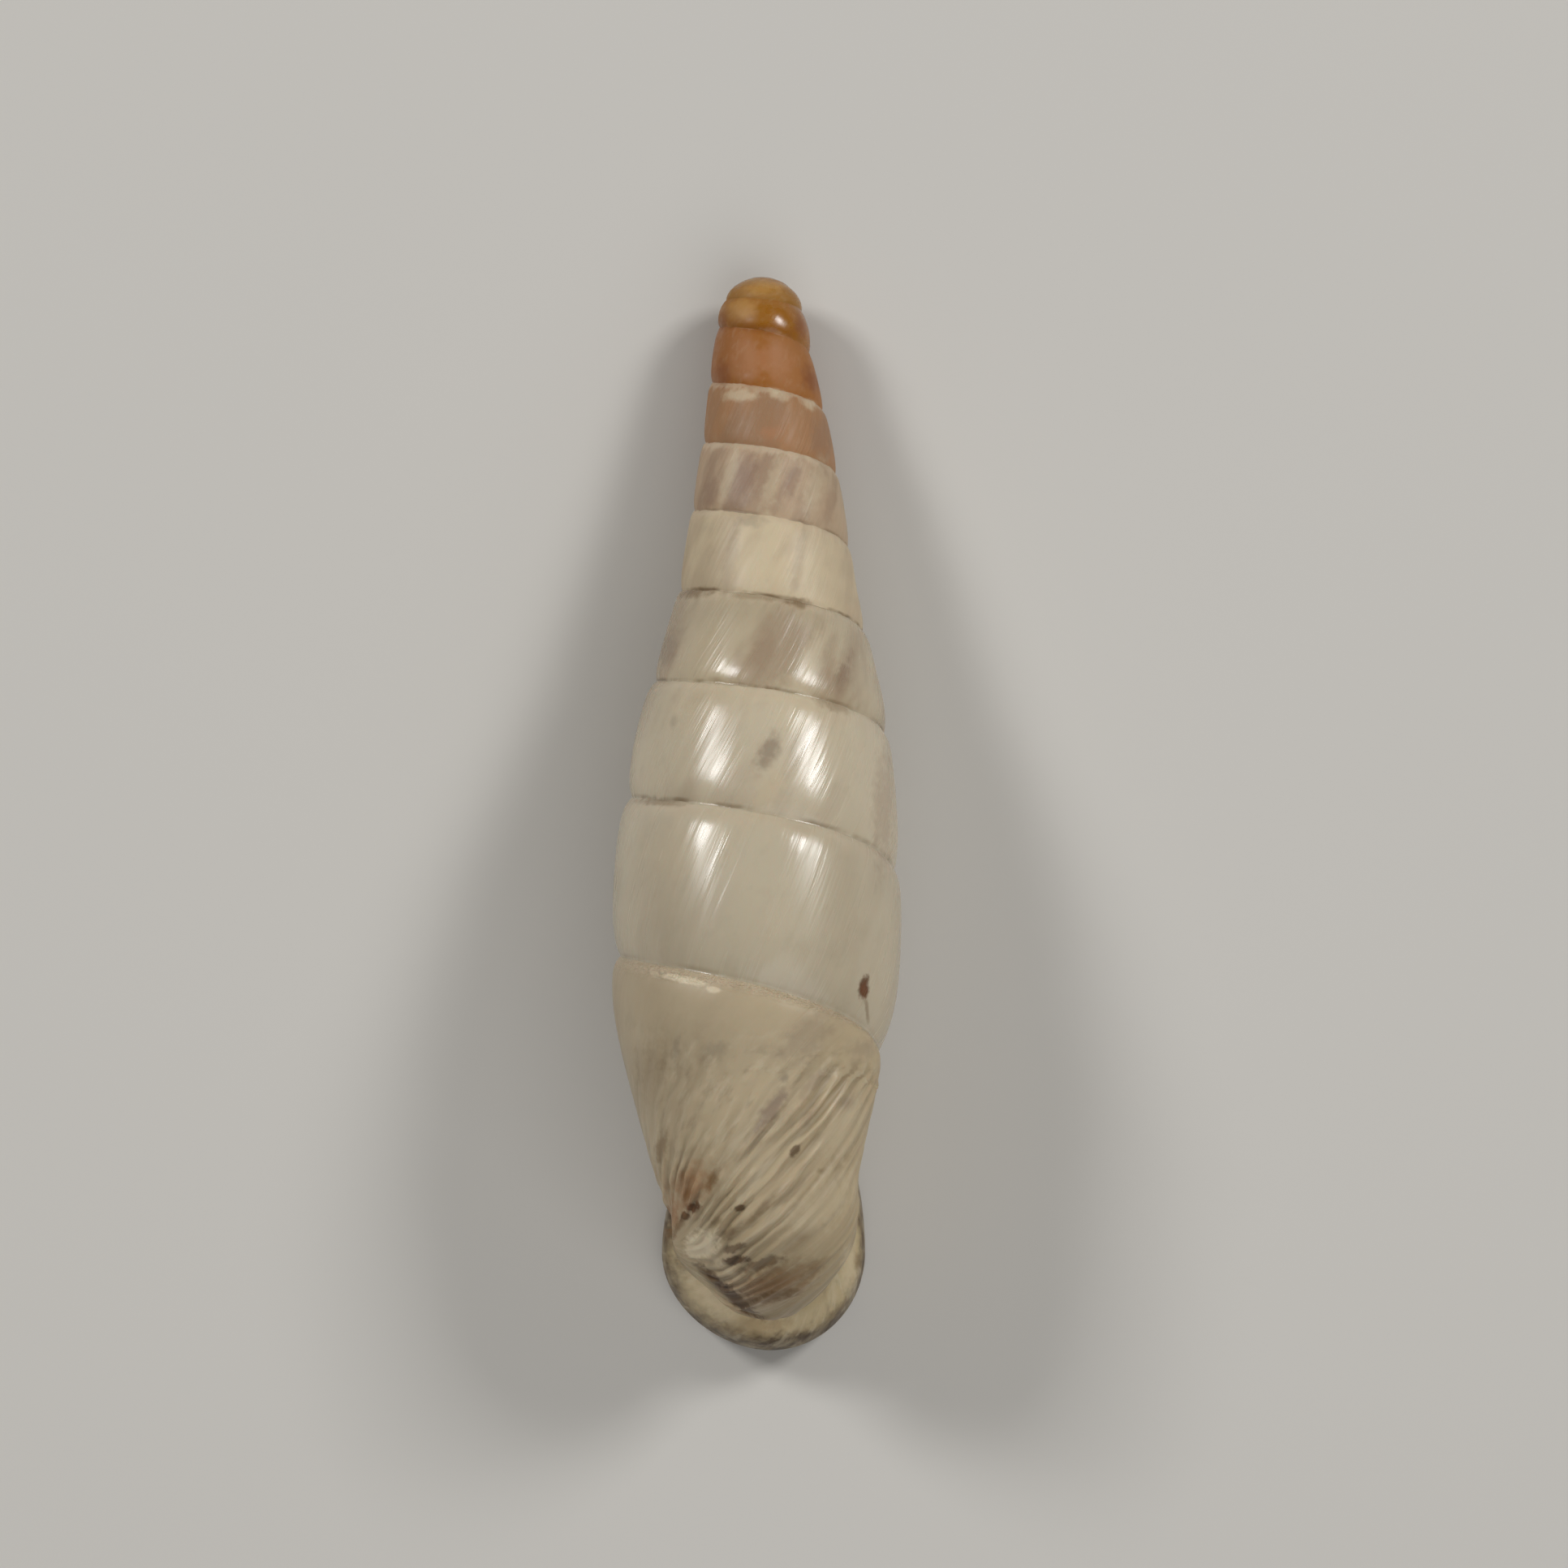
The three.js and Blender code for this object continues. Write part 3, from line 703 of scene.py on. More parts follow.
def patch(points, across, down):
    """Faces over a grid of numbered points, without the collapsed ones, and their growth map."""
    faces, maps = [], []
    for i in range(len(across) - 1):
        for row in range(len(down) - 1):
            corners = ((i, row), (i, row + 1), (i + 1, row + 1), (i + 1, row))
            face = {points[corner]: corner for corner in corners}
            if len(face) > 2:
                faces.append([int(point) for point in face])
                maps += [(across[a], down[b]) for a, b in face.values()]
    return faces, maps


def every_pair(turns, shares):
    """Each turn with each share, as two lists."""
    turn, share = np.meshgrid(turns, shares, indexing="ij")
    return turn.ravel(), share.ravel()


class GrowthPlan:
    """The shell laid out flat: turns to the right, whorls downwards, one measure per point."""

    def __init__(self):
        steps = np.arange(WHORL_ROWS) / WHORL_ROWS
        rows = steps - ROW_CROWDING * np.sin(2 * math.pi * steps) / (2 * math.pi)
        columns = np.arange(int((LAST_TURN - FIRST_TURN) * COLUMNS) + 1)
        self.turns = FIRST_TURN + columns / COLUMNS
        self.shares = np.append(rows, 1.0)
        self.neck_shares = np.linspace(1, 0, NECK_ROWS + 1)
        self.measures = {name: [] for name in ("turn", "share", "angle", "down", "middle", "half")}
        self.add_shell()
        self.join_columns()

    def add_points(self, *values):
        """Adds points, given by one list for each measure."""
        for kept, value in zip(self.measures.values(), values):
            kept.append(np.asarray(value, dtype=float))

    def add_round(self, turn, share):
        """Adds points of the round whorls."""
        down, radius = whorl_place(turn, share)
        zero = np.zeros_like(down)
        middle = np.stack([axis_sway(down), zero, zero], axis=-1)
        half = np.stack([radius, zero, radius], axis=-1)
        self.add_points(turn, share, angle_of(turn), down, middle, half)

    def add_shell(self):
        """Adds the whorls without their lower edges, the ring under the last, and the neck."""
        self.add_round(*every_pair(self.turns, self.shares[:-1]))
        ring = STRIP_TURNS + np.arange(COLUMNS) / COLUMNS
        self.add_round(ring, np.ones(COLUMNS))
        turn, share = every_pair(ring, self.neck_shares[1:-1])
        self.add_points(turn, 2 - share, *neck_place(along_growth_line(angle_of(turn), share)))
        pole = along_growth_line(np.zeros(1), 0)
        self.add_points([LAST_TURN], [2.0], *neck_place(pole))

    def join_columns(self):
        """Numbers the points so that each whorl's lower edge is the next one's upper edge."""
        columns = len(self.turns)
        own = np.arange(columns * WHORL_ROWS).reshape(columns, WHORL_ROWS)
        first_ring = own.size
        ring = first_ring + np.append(np.arange(COLUMNS), 0)
        own[0, :] = 0
        own[: COLUMNS + 1, 0] = 0
        own[-1, :] = ring[0]
        lower = np.append(own[COLUMNS:-1, 0], ring)
        self.whorl_points = np.column_stack([own, lower[:columns]])
        neck = first_ring + COLUMNS + np.arange(COLUMNS * (NECK_ROWS - 1))
        neck = neck.reshape(COLUMNS, NECK_ROWS - 1)
        neck = np.vstack([neck, neck[:1]])
        pole = np.full((COLUMNS + 1, 1), neck.max() + 1)
        self.neck_points = np.column_stack([ring, neck, pole])

    def faces(self):
        """All faces with the growth map of their corners."""
        ring_turns = np.append(STRIP_TURNS + np.arange(COLUMNS) / COLUMNS, LAST_TURN)
        whorls = patch(self.whorl_points, self.turns, self.shares)
        neck = patch(self.neck_points, ring_turns, 2 - self.neck_shares)
        return whorls[0] + neck[0], whorls[1] + neck[1]

    def mesh(self):
        """The flat plan as a mesh that carries its measures as attributes."""
        measures = {name: np.concatenate(parts) for name, parts in self.measures.items()}
        measures["turn"][0] = 0
        faces, maps = self.faces()
        flat = np.column_stack([measures["turn"], -measures["share"], 0 * measures["turn"]])
        mesh = bpy.data.meshes.new("growth plan")
        mesh.from_pydata(flat.tolist(), [], faces)
        write_growth_map(mesh, maps)
        measures["ribbing"] = ribbing(measures["turn"], measures["share"])
        for name, values in measures.items():
            write_attribute(mesh, name, values)
        return mesh


def ribbing(turn, share):
    """How strong the ribs are: none on the spire, full on the neck, none at the knob."""
    started = smooth_step(turn, RIBS_START_TURN, RIBS_START_TURN + RIBS_GROW_TURNS)
    stopped = smooth_step(turn, LAST_TURN - RIBS_STOP_TURNS, LAST_TURN)
    grown = smooth_step(share, *RIBS_BELOW_SUTURE)
    faded = smooth_step(share, *RIBS_AT_KNOB)
    bold = np.exp(-(((turn - BOLD_RIBS_TURN) / BOLD_RIBS_WIDTH) ** 2))
    gathered = smooth_step(share, *RIBS_GATHERED)
    strength = FAINT_RIBS + (1 - FAINT_RIBS) * np.maximum(bold, gathered)
    return started * (1 - stopped) * grown * (1 - faded) * strength


def write_attribute(mesh, name, values):
    """Stores a number or a vector per point under the given name."""
    kind, field = ("FLOAT", "value") if values.ndim == 1 else ("FLOAT_VECTOR", "vector")
    attribute = mesh.attributes.new(name, kind, "POINT")
    attribute.data.foreach_set(field, values.astype(np.float32).ravel())


def write_growth_map(mesh, maps):
    """Stores the place of each corner on the growth map."""
    layer = mesh.uv_layers.new(name="growth")
    layer.data.foreach_set("uv", np.asarray(maps, dtype=np.float32).ravel())


def mouth_rings(sections, levels):
    """Points of the mouth's rings, interpolated smoothly between the given ones."""
    at = np.linspace(0, 1, levels)
    columns = [curve(at)[:, None] for curve in even_curves(sections)]
    height, half_width, below, above, across, down, point = columns
    angle = 2 * math.pi * np.arange(LIP_POINTS) / LIP_POINTS
    rise, run = np.sin(angle)[None, :], np.cos(angle)[None, :]
    upper = rise > 0
    pointed = np.where(upper, 1, point)
    lean = np.where(upper, LIP_LEAN, LIP_FOOT_LEAN) * rise * rise
    along = np.where(upper, above * rise, -below * np.abs(rise) ** pointed)
    x = across + lean + half_width * np.sign(run) * np.abs(run) ** pointed
    z = height + LIP_ARCH * rise * rise + LIP_SLOPE * along
    return np.stack([x, along - down, z], axis=-1)


def ring_solid(name, sections, levels, map_place):
    """A closed solid through rings that go from high to low."""
    rings = mouth_rings(sections, levels)
    points = np.vstack([rings.reshape(-1, 3), rings[0].mean(0), rings[-1].mean(0)])
    numbers = np.arange(levels * LIP_POINTS).reshape(levels, LIP_POINTS).T
    poles = np.full((LIP_POINTS, 2), (len(points) - 2, len(points) - 1))
    numbers = np.column_stack([poles[:, 0], numbers, poles[:, 1]])
    around = map_place + np.arange(LIP_POINTS + 1) / LIP_POINTS
    down = np.concatenate([[0], np.linspace(0, 1, levels), [1]])
    faces, maps = patch(np.vstack([numbers, numbers[:1]]), around, down)
    mesh = bpy.data.meshes.new(name)
    mesh.from_pydata(points.tolist(), [], faces)
    write_growth_map(mesh, maps)
    write_attribute(mesh, "own", np.ones(len(points)))
    return show_mesh(name, mesh)


def lamella(middle, half, lean):
    """A thin rounded plate in the mouth."""
    bpy.ops.mesh.primitive_uv_sphere_add(segments=LAMELLA_POINTS, ring_count=LAMELLA_POINTS // 2)
    plate = bpy.context.object
    turn = Matrix.Rotation(math.radians(lean), 4, "Z")
    size = Matrix.Diagonal((*half, 1))
    plate.data.transform(Matrix.Translation(middle) @ turn @ size)
    plate.data.uv_layers.remove(plate.data.uv_layers[0])
    write_growth_map(plate.data, [(PASSAGE_PLACE + 0.5, 0.5)] * len(plate.data.loops))
    return plate


def show_mesh(name, mesh):
    """Puts a mesh into the scene as an object."""
    piece = bpy.data.objects.new(name, mesh)
    bpy.context.collection.objects.link(piece)
    return piece


def bake_modifiers(piece):
    """Turns the piece with its modifiers into a plain mesh."""
    graph = bpy.context.evaluated_depsgraph_get()
    baked = bpy.data.meshes.new_from_object(piece.evaluated_get(graph))
    piece.modifiers.clear()
    piece.data = baked


def combine(piece, other, operation):
    """Joins another closed piece to this one, or cuts it away, and removes the other."""
    modifier = piece.modifiers.new(operation.lower(), "BOOLEAN")
    modifier.operation = operation
    modifier.solver = "MANIFOLD"
    modifier.object = other
    bake_modifiers(piece)
    bpy.data.objects.remove(other)


def read_points(mesh):
    """The mesh's points as an array."""
    points = np.empty(len(mesh.vertices) * 3, dtype=np.float32)
    mesh.vertices.foreach_get("co", points)
    return points.reshape(-1, 3).astype(float)


def ease_join(mesh, reach, rounds):
    """Smooths the crease where two pieces were joined, over the given reach."""
    own = np.empty(len(mesh.vertices), dtype=np.float32)
    mesh.attributes["own"].data.foreach_get("value", own)
    points = read_points(mesh)
    seam = np.flatnonzero(own < 0.5)
    tree = kdtree.KDTree(len(seam))
    for number, point in enumerate(points[seam]):
        tree.insert(point, number)
    tree.balance()
    away = np.array([tree.find(point)[2] for point in points])
    weight = 0.5 * np.exp(-((away / reach) ** 2))[:, None]
    edges = np.empty(len(mesh.edges) * 2, dtype=np.int32)
    mesh.edges.foreach_get("vertices", edges)
    first, second = edges.reshape(-1, 2).T
    count = np.bincount(edges, minlength=len(points))[:, None]
    for _ in range(rounds):
        total = np.zeros_like(points)
        np.add.at(total, first, points[second])
        np.add.at(total, second, points[first])
        points += weight * (total / count - points)
    mesh.vertices.foreach_set("co", points.astype(np.float32).ravel())


class Value:
    """What a node puts out. Sums and products of values are further nodes."""

    def __init__(self, socket):
        self.socket = socket
        self.tree = socket.id_data

    def maths(self, operation, *others):
        """A math node's result, with this value as its first input."""
        inputs = dict(enumerate((self, *others)))
        return put_out(self.tree, "ShaderNodeMath", inputs, operation=operation)

    def __add__(self, other):
        return self.maths("ADD", other)

    def __sub__(self, other):
        return self.maths("SUBTRACT", other)

    def __rsub__(self, other):
        return put_out(self.tree, "ShaderNodeMath", {0: other, 1: self}, operation="SUBTRACT")

    def __mul__(self, other):
        return self.maths("MULTIPLY", other)

    def __truediv__(self, other):
        return self.maths("DIVIDE", other)

    def step(self, start, end, low=0.0, high=1.0):
        """A smooth step from low to high as this value goes from start to end."""
        inputs = {"Value": self, "From Min": start, "From Max": end, "To Min": low, "To Max": high}
        return put_out(self.tree, "ShaderNodeMapRange", inputs, interpolation_type="SMOOTHSTEP")


def new_node(tree, kind, inputs=None, **settings):
    """A new node, with its own settings and its inputs set or linked."""
    node = tree.nodes.new(kind)
    for name, value in settings.items():
        setattr(node, name, value)
    for key, value in (inputs or {}).items():
        if isinstance(value, Value):
            tree.links.new(value.socket, node.inputs[key])
        else:
            node.inputs[key].default_value = value
    return node


def put_out(tree, kind, inputs=None, output=0, **settings):
    """The value that a new node puts out."""
    return Value(new_node(tree, kind, inputs, **settings).outputs[output])


def noise(place, scale, detail=2.0, roughness=0.5):
    """A noise texture's value at the given place."""
    inputs = {"Vector": place, "Scale": scale, "Detail": detail, "Roughness": roughness}
    return put_out(place.tree, "ShaderNodeTexNoise", inputs)


def vector(tree, x=0.0, y=0.0, z=0.0):
    """A vector from three values."""
    return put_out(tree, "ShaderNodeCombineXYZ", {"X": x, "Y": y, "Z": z})


def axes(value):
    """The three values of a vector."""
    node = new_node(value.tree, "ShaderNodeSeparateXYZ", {0: value})
    return [Value(socket) for socket in node.outputs]


def new_tree(name, kind, inputs, outputs):
    """A node group and its inputs' values. Each socket has a starting number or a kind."""
    tree = bpy.data.node_groups.new(name, kind)
    for side, sockets in (("INPUT", inputs), ("OUTPUT", outputs)):
        for label, value in sockets.items():
            number = isinstance(value, float)
            socket_kind = "NodeSocketFloat" if number else value
            socket = tree.interface.new_socket(label, in_out=side, socket_type=socket_kind)
            if number:
                socket.default_value = value
    given = tree.nodes.new("NodeGroupInput").outputs
    return tree, {label: Value(given[label]) for label in inputs}


def end_tree(tree, results):
    """Puts out the node group's results."""
    new_node(tree, "NodeGroupOutput", results)
    return tree


def named(tree, name, kind="FLOAT"):
    """A field that reads an attribute of the plan."""
    return put_out(tree, "GeometryNodeInputNamedAttribute", {"Name": name}, "Attribute", data_type=kind)


def coil_position(tree):
    """Where the coil takes a point of the plan."""
    across, _, height = axes(named(tree, "middle", "FLOAT_VECTOR"))
    half_width, _, half_height = axes(named(tree, "half", "FLOAT_VECTOR"))
    angle = named(tree, "angle")
    x = half_width * angle.maths("COSINE") + across
    z = half_height * angle.maths("SINE") + height
    return vector(tree, x, named(tree, "down") * -1.0, z)


def suture_shift(tree, given):
    """How far a point strays down because it lies near a wandering suture."""
    share, turn = named(tree, "share"), named(tree, "turn")
    near_top = share.step(0.0, WANDER_REACH, 1.0, 0.0)
    near_hem = share.step(1 - WANDER_REACH, 1.0)
    suture = turn + share.maths("GREATER_THAN", 0.5)
    spire = suture.step(*WANDER_START) * suture.step(*WANDER_END, 1.0, 0.0)
    wander = noise(vector(tree, suture, given["Seed"]), WANDERS_PER_TURN, 1.0)
    amount = near_top.maths("MAXIMUM", near_hem) * spire * given["Suture Wander"]
    return vector(tree, 0.0, amount * (wander * 2.0 - 1.0))


def rib_wave(tree, given):
    """The crests and furrows of the ribs, from 0 in a furrow to 1 on a crest."""
    share, turn = named(tree, "share"), named(tree, "turn")
    growth = turn - (1.0 - share).maths("MAXIMUM", 0.0) * RIB_LEAN
    place = vector(tree, growth, share * RIB_STRAYS_DOWN, given["Seed"])
    stray = noise(place, RIB_STRAYS_PER_TURN, 3.0)
    phase = growth * given["Ribs per Turn"] + stray * given["Rib Wander"]
    return (phase * (2 * math.pi)).maths("COSINE") * 0.5 + 0.5


def relief(tree, given, wave):
    """Height of the ribs and of the slow growth waves."""
    share, turn, seed = named(tree, "share"), named(tree, "turn"), given["Seed"]
    place = vector(tree, turn * RIB_PATCHES_PER_TURN, share * RIB_PATCHES_DOWN, seed)
    strength = noise(place, 1.0).step(*RIB_PATCH_EDGE, *RIB_PATCH_STRENGTHS)
    crests = wave.maths("POWER", RIB_SHARPNESS) * named(tree, "ribbing")
    place = vector(tree, share * WAVE_LEAN + turn, share * WAVES_DOWN, seed)
    waves = (noise(place, WAVES_PER_TURN, 3.0) * 2.0 - 1.0) * turn.step(*WAVES_START)
    return crests * strength * given["Rib Height"] + waves * given["Wave Height"]


def worked(tree, kind, geometry, inputs=None, **settings):
    """The geometry that leaves a geometry node."""
    inputs = {"Geometry": geometry, **(inputs or {})}
    return put_out(tree, f"GeometryNode{kind}", inputs, **settings)


def coil_tree(values):
    """The nodes that coil the flat plan into the shell and raise its relief."""
    inputs = {"Plan": "NodeSocketGeometry", **values, "Material": "NodeSocketMaterial"}
    outputs = {"Shell": "NodeSocketGeometry"}
    tree, given = new_tree("Coil the growth plan", "GeometryNodeTree", inputs, outputs)
    place = {"Position": coil_position(tree), "Offset": suture_shift(tree, given)}
    shell = worked(tree, "SetPosition", given["Plan"], place)
    wave = rib_wave(tree, given)
    crest = {"Name": "rib crest", "Value": wave}
    shell = worked(tree, "StoreNamedAttribute", shell, crest, data_type="FLOAT", domain="POINT")
    outward = {0: put_out(tree, "GeometryNodeInputNormal"), "Scale": relief(tree, given, wave)}
    raised = put_out(tree, "ShaderNodeVectorMath", outward, operation="SCALE")
    shell = worked(tree, "SetPosition", shell, {"Offset": raised})
    shell = worked(tree, "RealizeInstances", shell)
    shell = worked(tree, "SetMaterial", shell, {"Material": given["Material"]})
    return end_tree(tree, {"Shell": shell})


def coil_shell(shape, material):
    """The spire, body and neck, coiled from the growth plan."""
    values = {
        "Rib Height": shape.rib_height / MILLIMETRE,
        "Ribs per Turn": float(shape.ribs_per_turn),
        "Rib Wander": shape.rib_wander,
        "Wave Height": shape.wave_height / MILLIMETRE,
        "Suture Wander": shape.suture_wander / MILLIMETRE,
        "Seed": float(shape.seed),
    }
    piece = show_mesh("door_snail_shell", GrowthPlan().mesh())
    modifier = piece.modifiers.new("coil", "NODES")
    modifier.node_group = coil_tree(values)
    values["Material"] = material
    for socket in modifier.node_group.interface.items_tree:
        if socket.name in values:
            modifier[socket.identifier] = values[socket.name]
    bake_modifiers(piece)
    write_attribute(piece.data, "own", np.ones(len(piece.data.vertices)))
    return piece


def lay_down(mesh):
    """Pitches the shell onto its lip, in metres, and sets it on the floor."""
    stretched = Matrix.Diagonal((1, AXIS_STRETCH, 1, 1))
    pitched = Matrix.Rotation(RESTING_PITCH, 4, "X") @ stretched
    mesh.transform(Matrix.Translation((REST_ACROSS, REST_ALONG, 0)) @ pitched)
    mesh.transform(Matrix.Translation((0, 0, -read_points(mesh)[:, 2].min())))
    mesh.transform(Matrix.Scale(MILLIMETRE, 4))


def growth_map(tree):
    """The turn and the share of a place on the shell."""
    turn, share, _ = axes(put_out(tree, "ShaderNodeUVMap", uv_map="growth"))
    return turn, share


def growth_place_group():
    """Reads the growth map: the turn, the share, and masks for the neck, lip and mouth."""
    names = ("Turn", "Share", "Neck", "Lip", "Mouth")
    tree, _ = new_tree("Growth place", "ShaderNodeTree", {}, dict.fromkeys(names, 0.0))
    turn, share = growth_map(tree)
    mouth = turn.maths("GREATER_THAN", IN_MOUTH)
    beyond = turn.maths("GREATER_THAN", ON_LIP)
    last_whorl = turn.step(*NECK_LOOK_TURNS) * share.step(*NECK_LOOK_SHARES)
    neck = share.step(*NECK_EDGE).maths("MAXIMUM", last_whorl) * (1.0 - beyond)
    return end_tree(tree, dict(zip(names, (turn, share, neck, beyond - mouth, mouth))))


def growth_streaks_group():
    """Streaks that follow the growth lines, as an uneven mask."""
    names = ("Lines per Turn", "Along", "Low", "High", "Seed")
    inputs = dict.fromkeys(names, 1.0)
    tree, given = new_tree("Growth streaks", "ShaderNodeTree", inputs, {"Mask": 0.0})
    turn, share = growth_map(tree)
    growth = share.maths("MINIMUM", 1.0) * STREAK_LEAN + turn
    place = vector(tree, growth * given["Lines per Turn"], share * given["Along"], given["Seed"])
    mask = noise(place, 1.0, 3.0, STREAK_ROUGHNESS).step(given["Low"], given["High"])
    return end_tree(tree, {"Mask": mask})


def marked_side(along, height):
    """Where marks may lie: above the axis, lower near the neck, and on nearly all of the lip."""
    lowest = along * AXIS_RISE + AXIS_HEIGHT
    lowest = lowest - along.step(*NECK_MARKS_ALONG, NECK_MARKS_REACH, 0.0)
    lowest_on_lip = along.step(*LIP_MARKS_ALONG, LIP_MARKS_FROM, ABOVE_ALL)
    return (height - lowest.maths("MINIMUM", lowest_on_lip)).step(*MARKS_END)


def mark_group():
    """A ragged oval mark, seen from above and laid on the upper side only."""
    names = ("Across", "Along", "Length", "Width", "Direction", "Strength", "Softness")
    tree, given = new_tree("Mark", "ShaderNodeTree", dict.fromkeys(names, 1.0), {"Mask": 0.0})
    place = put_out(tree, "ShaderNodeTexCoord", output="Object")
    across, along, height = (axis * (1 / MILLIMETRE) for axis in axes(place))
    x, y = across - given["Across"], along - given["Along"]
    cosine, sine = (given["Direction"].maths(name) for name in ("COSINE", "SINE"))
    u = (x * cosine + y * sine) / given["Length"]
    v = (y * cosine - x * sine) / given["Width"]
    away = (u * u + v * v).maths("SQRT") + (noise(place, MARK_RAGGEDNESS, 3.0) - 0.5)
    inner = MARK_EDGE - given["Softness"] * SOFT_INWARD
    outer = given["Softness"] * SOFT_OUTWARD + MARK_EDGE
    mask = away.step(inner, outer, 1.0, 0.0) * given["Strength"] * marked_side(along, height)
    return end_tree(tree, {"Mask": mask})


class ShellMaterial:
    """Builds the shell's surface from growth, ribs, marks, lip and mouth."""

    def __init__(self, finish):
        self.finish = finish
        self.material = bpy.data.materials.new("weathered shell")
        self.material.use_nodes = True
        self.tree = self.material.node_tree
        self.tree.nodes.clear()
        self.place = self.group(growth_place_group())
        self.streak_nodes = growth_streaks_group()
        self.mark_nodes = mark_group()

    def group(self, tree, *values):
        """Places a node group with its own values, in the order of its inputs."""
        node = new_node(self.tree, "ShaderNodeGroup", dict(enumerate(values)), node_tree=tree)
        return {socket.name: Value(socket) for socket in node.outputs}

    def mix(self, factor, below, above):
        """One colour laid over another."""
        inputs = {0: factor, COLOUR_BELOW: below, COLOUR_ABOVE: above}
        return put_out(self.tree, "ShaderNodeMix", inputs, COLOUR_RESULT, data_type="RGBA")

    def tint(self, factor, below, name):
        """One of the finish's colours laid over another colour."""
        return self.mix(factor, below, (*getattr(self.finish, name), 1))

    def ramp(self, stops):
        """A ramp along the growth, with stops given by turn."""
        start, end = stops[0][0], stops[-1][0]
        span = {"Value": self.place["Turn"], "From Min": start, "From Max": end}
        share = put_out(self.tree, "ShaderNodeMapRange", span)
        node = new_node(self.tree, "ShaderNodeValToRGB", {"Fac": share})
        elements = node.color_ramp.elements
        for turn, value in stops[1:-1]:
            elements.new((turn - start) / (end - start)).color = ramp_colour(value)
        elements[0].color = ramp_colour(stops[0][1])
        elements[-1].color = ramp_colour(stops[-1][1])
        return Value(node.outputs["Color"])

    def streaks(self, kind):
        """The mask of one kind of streaks along the growth lines."""
        return self.group(self.streak_nodes, *STREAKS[kind])["Mask"]

    def uneven(self, kind, least, added):
        """A value that one kind of streaks raises from its least."""
        return self.streaks(kind) * added + least

    def mark(self, across, along, length, width, direction, strength, softness):
        """The mask of one mark."""
        direction = math.radians(direction)
        values = (across, along, length, width, direction, strength, softness)
        return self.group(self.mark_nodes, *values)["Mask"]

    def growth_colour(self):
        """Colour of the whorls with their streaks."""
        mauve = self.streaks("mauve") * self.ramp(MAUVE_STRENGTH)
        colour = self.tint(mauve, self.ramp(GROWTH_COLOURS), "streak_colour")
        pale = self.streaks("pale") * self.ramp(PALE_STRENGTH)
        colour = self.tint(pale, colour, "suture_colour")
        grown = self.place["Turn"].step(*DULL_TURNS, 0.0, DULL_STRENGTH)
        return self.mix(self.streaks("dull") * grown, colour, DULL_STREAKS)

    def suture_colours(self, colour):
        """The pale crenulated edge under each suture, and a broken line of dirt and painted shade in
        its crease.
        """
        share = self.place["Share"]
        depth = share / self.uneven("edge teeth", *EDGE_DEPTH)
        strength = self.ramp(SUTURE_EDGE_STRENGTH) * self.uneven("uneven edge", *EDGE_STRENGTH)
        on_shell = self.place["Turn"].maths("LESS_THAN", ON_LIP)
        edge = depth.step(*EDGE_FADE, 1.0, 0.0) * strength * on_shell
        colour = self.tint(edge, colour, "suture_colour")
        # The line darkens the suture's crease: dirt and painted shade.
        line = share.step(*DIRT_AND_SHADE_ABOVE).maths("MAXIMUM", share.step(*DIRT_AND_SHADE_BELOW, 1.0, 0.0))
        dirt_and_shade = line * self.streaks("broken dirt and shade") * self.ramp(DIRT_AND_SHADE_STRENGTH)
        return self.tint(dirt_and_shade, colour, "dirt_and_shade_colour")

    def neck_colour(self, colour):
        """Pale crests, and furrows darkened with dirt and painted shade, where the ribs stand."""
        crest, ribs = (
            put_out(self.tree, "ShaderNodeAttribute", output="Fac", attribute_name=name)
            for name in ("rib crest", "ribbing")
        )
        pale = crest.step(*RIB_CREST, 0.0, CREST_STRENGTH) * ribs
        colour = self.tint(pale, colour, "rib_colour")
        # The furrows darken with dirt and painted shade.
        furrow = crest.step(*RIB_FURROW, 0.0, FURROW_STRENGTH) * ribs
        return self.tint(furrow * self.streaks("dirty shaded furrows"), colour, "dirt_and_shade_colour")

    def lip_colour(self, colour):
        """The lip, darkened along its outer edge: painted shade where the rim curls away, with dirt."""
        position = put_out(self.tree, "ShaderNodeTexCoord", output="Object")
        ragged = (noise(position, LIP_EDGE_SHADE_GRAIN, 3.0) - 0.5) * LIP_EDGE_SHADE_RAGGEDNESS
        outward = ragged + self.place["Share"]
        edge_shade = outward.step(*LIP_EDGE_SHADE_FROM) * self.uneven("shaded lip edge", *LIP_EDGE_SHADE_STRENGTH)
        lip = self.tint(edge_shade, (*self.finish.lip_colour, 1), "lip_edge_colour")
        return self.mix(self.place["Lip"], colour, lip)

    def mottled(self, colour):
        """Small dull and pale flecks, strongest on the neck and lip."""
        least, added = FLECK_STRENGTH
        strength = self.place["Neck"].maths("MAXIMUM", self.place["Lip"]) * added + least
        for kind, fleck in (("dull flecks", DULL_FLECKS), ("pale flecks", PALE_FLECKS)):
            colour = self.mix(self.streaks(kind) * strength, colour, fleck)
        return colour

    def marked(self, colour):
        """The marks, each at its own place."""
        for *place, kind in MARKS:
            shade, softness = MARK_KINDS[kind]
            colour = self.mix(self.mark(*place, softness), colour, tone(*shade))
        return colour

    def roughness(self):
        """Roughness along the growth, streaked on the glossy whorls."""
        grown = self.place["Turn"].step(*GLOSS_TURNS, 0.0, GLOSS_STRENGTH)
        roughness = self.streaks("uneven gloss") * grown + self.ramp(GROWTH_ROUGHNESS)
        for patch in WORN_PATCHES:
            roughness = self.mark(*patch, 1.0) * WORN_ROUGHNESS + roughness
        return roughness

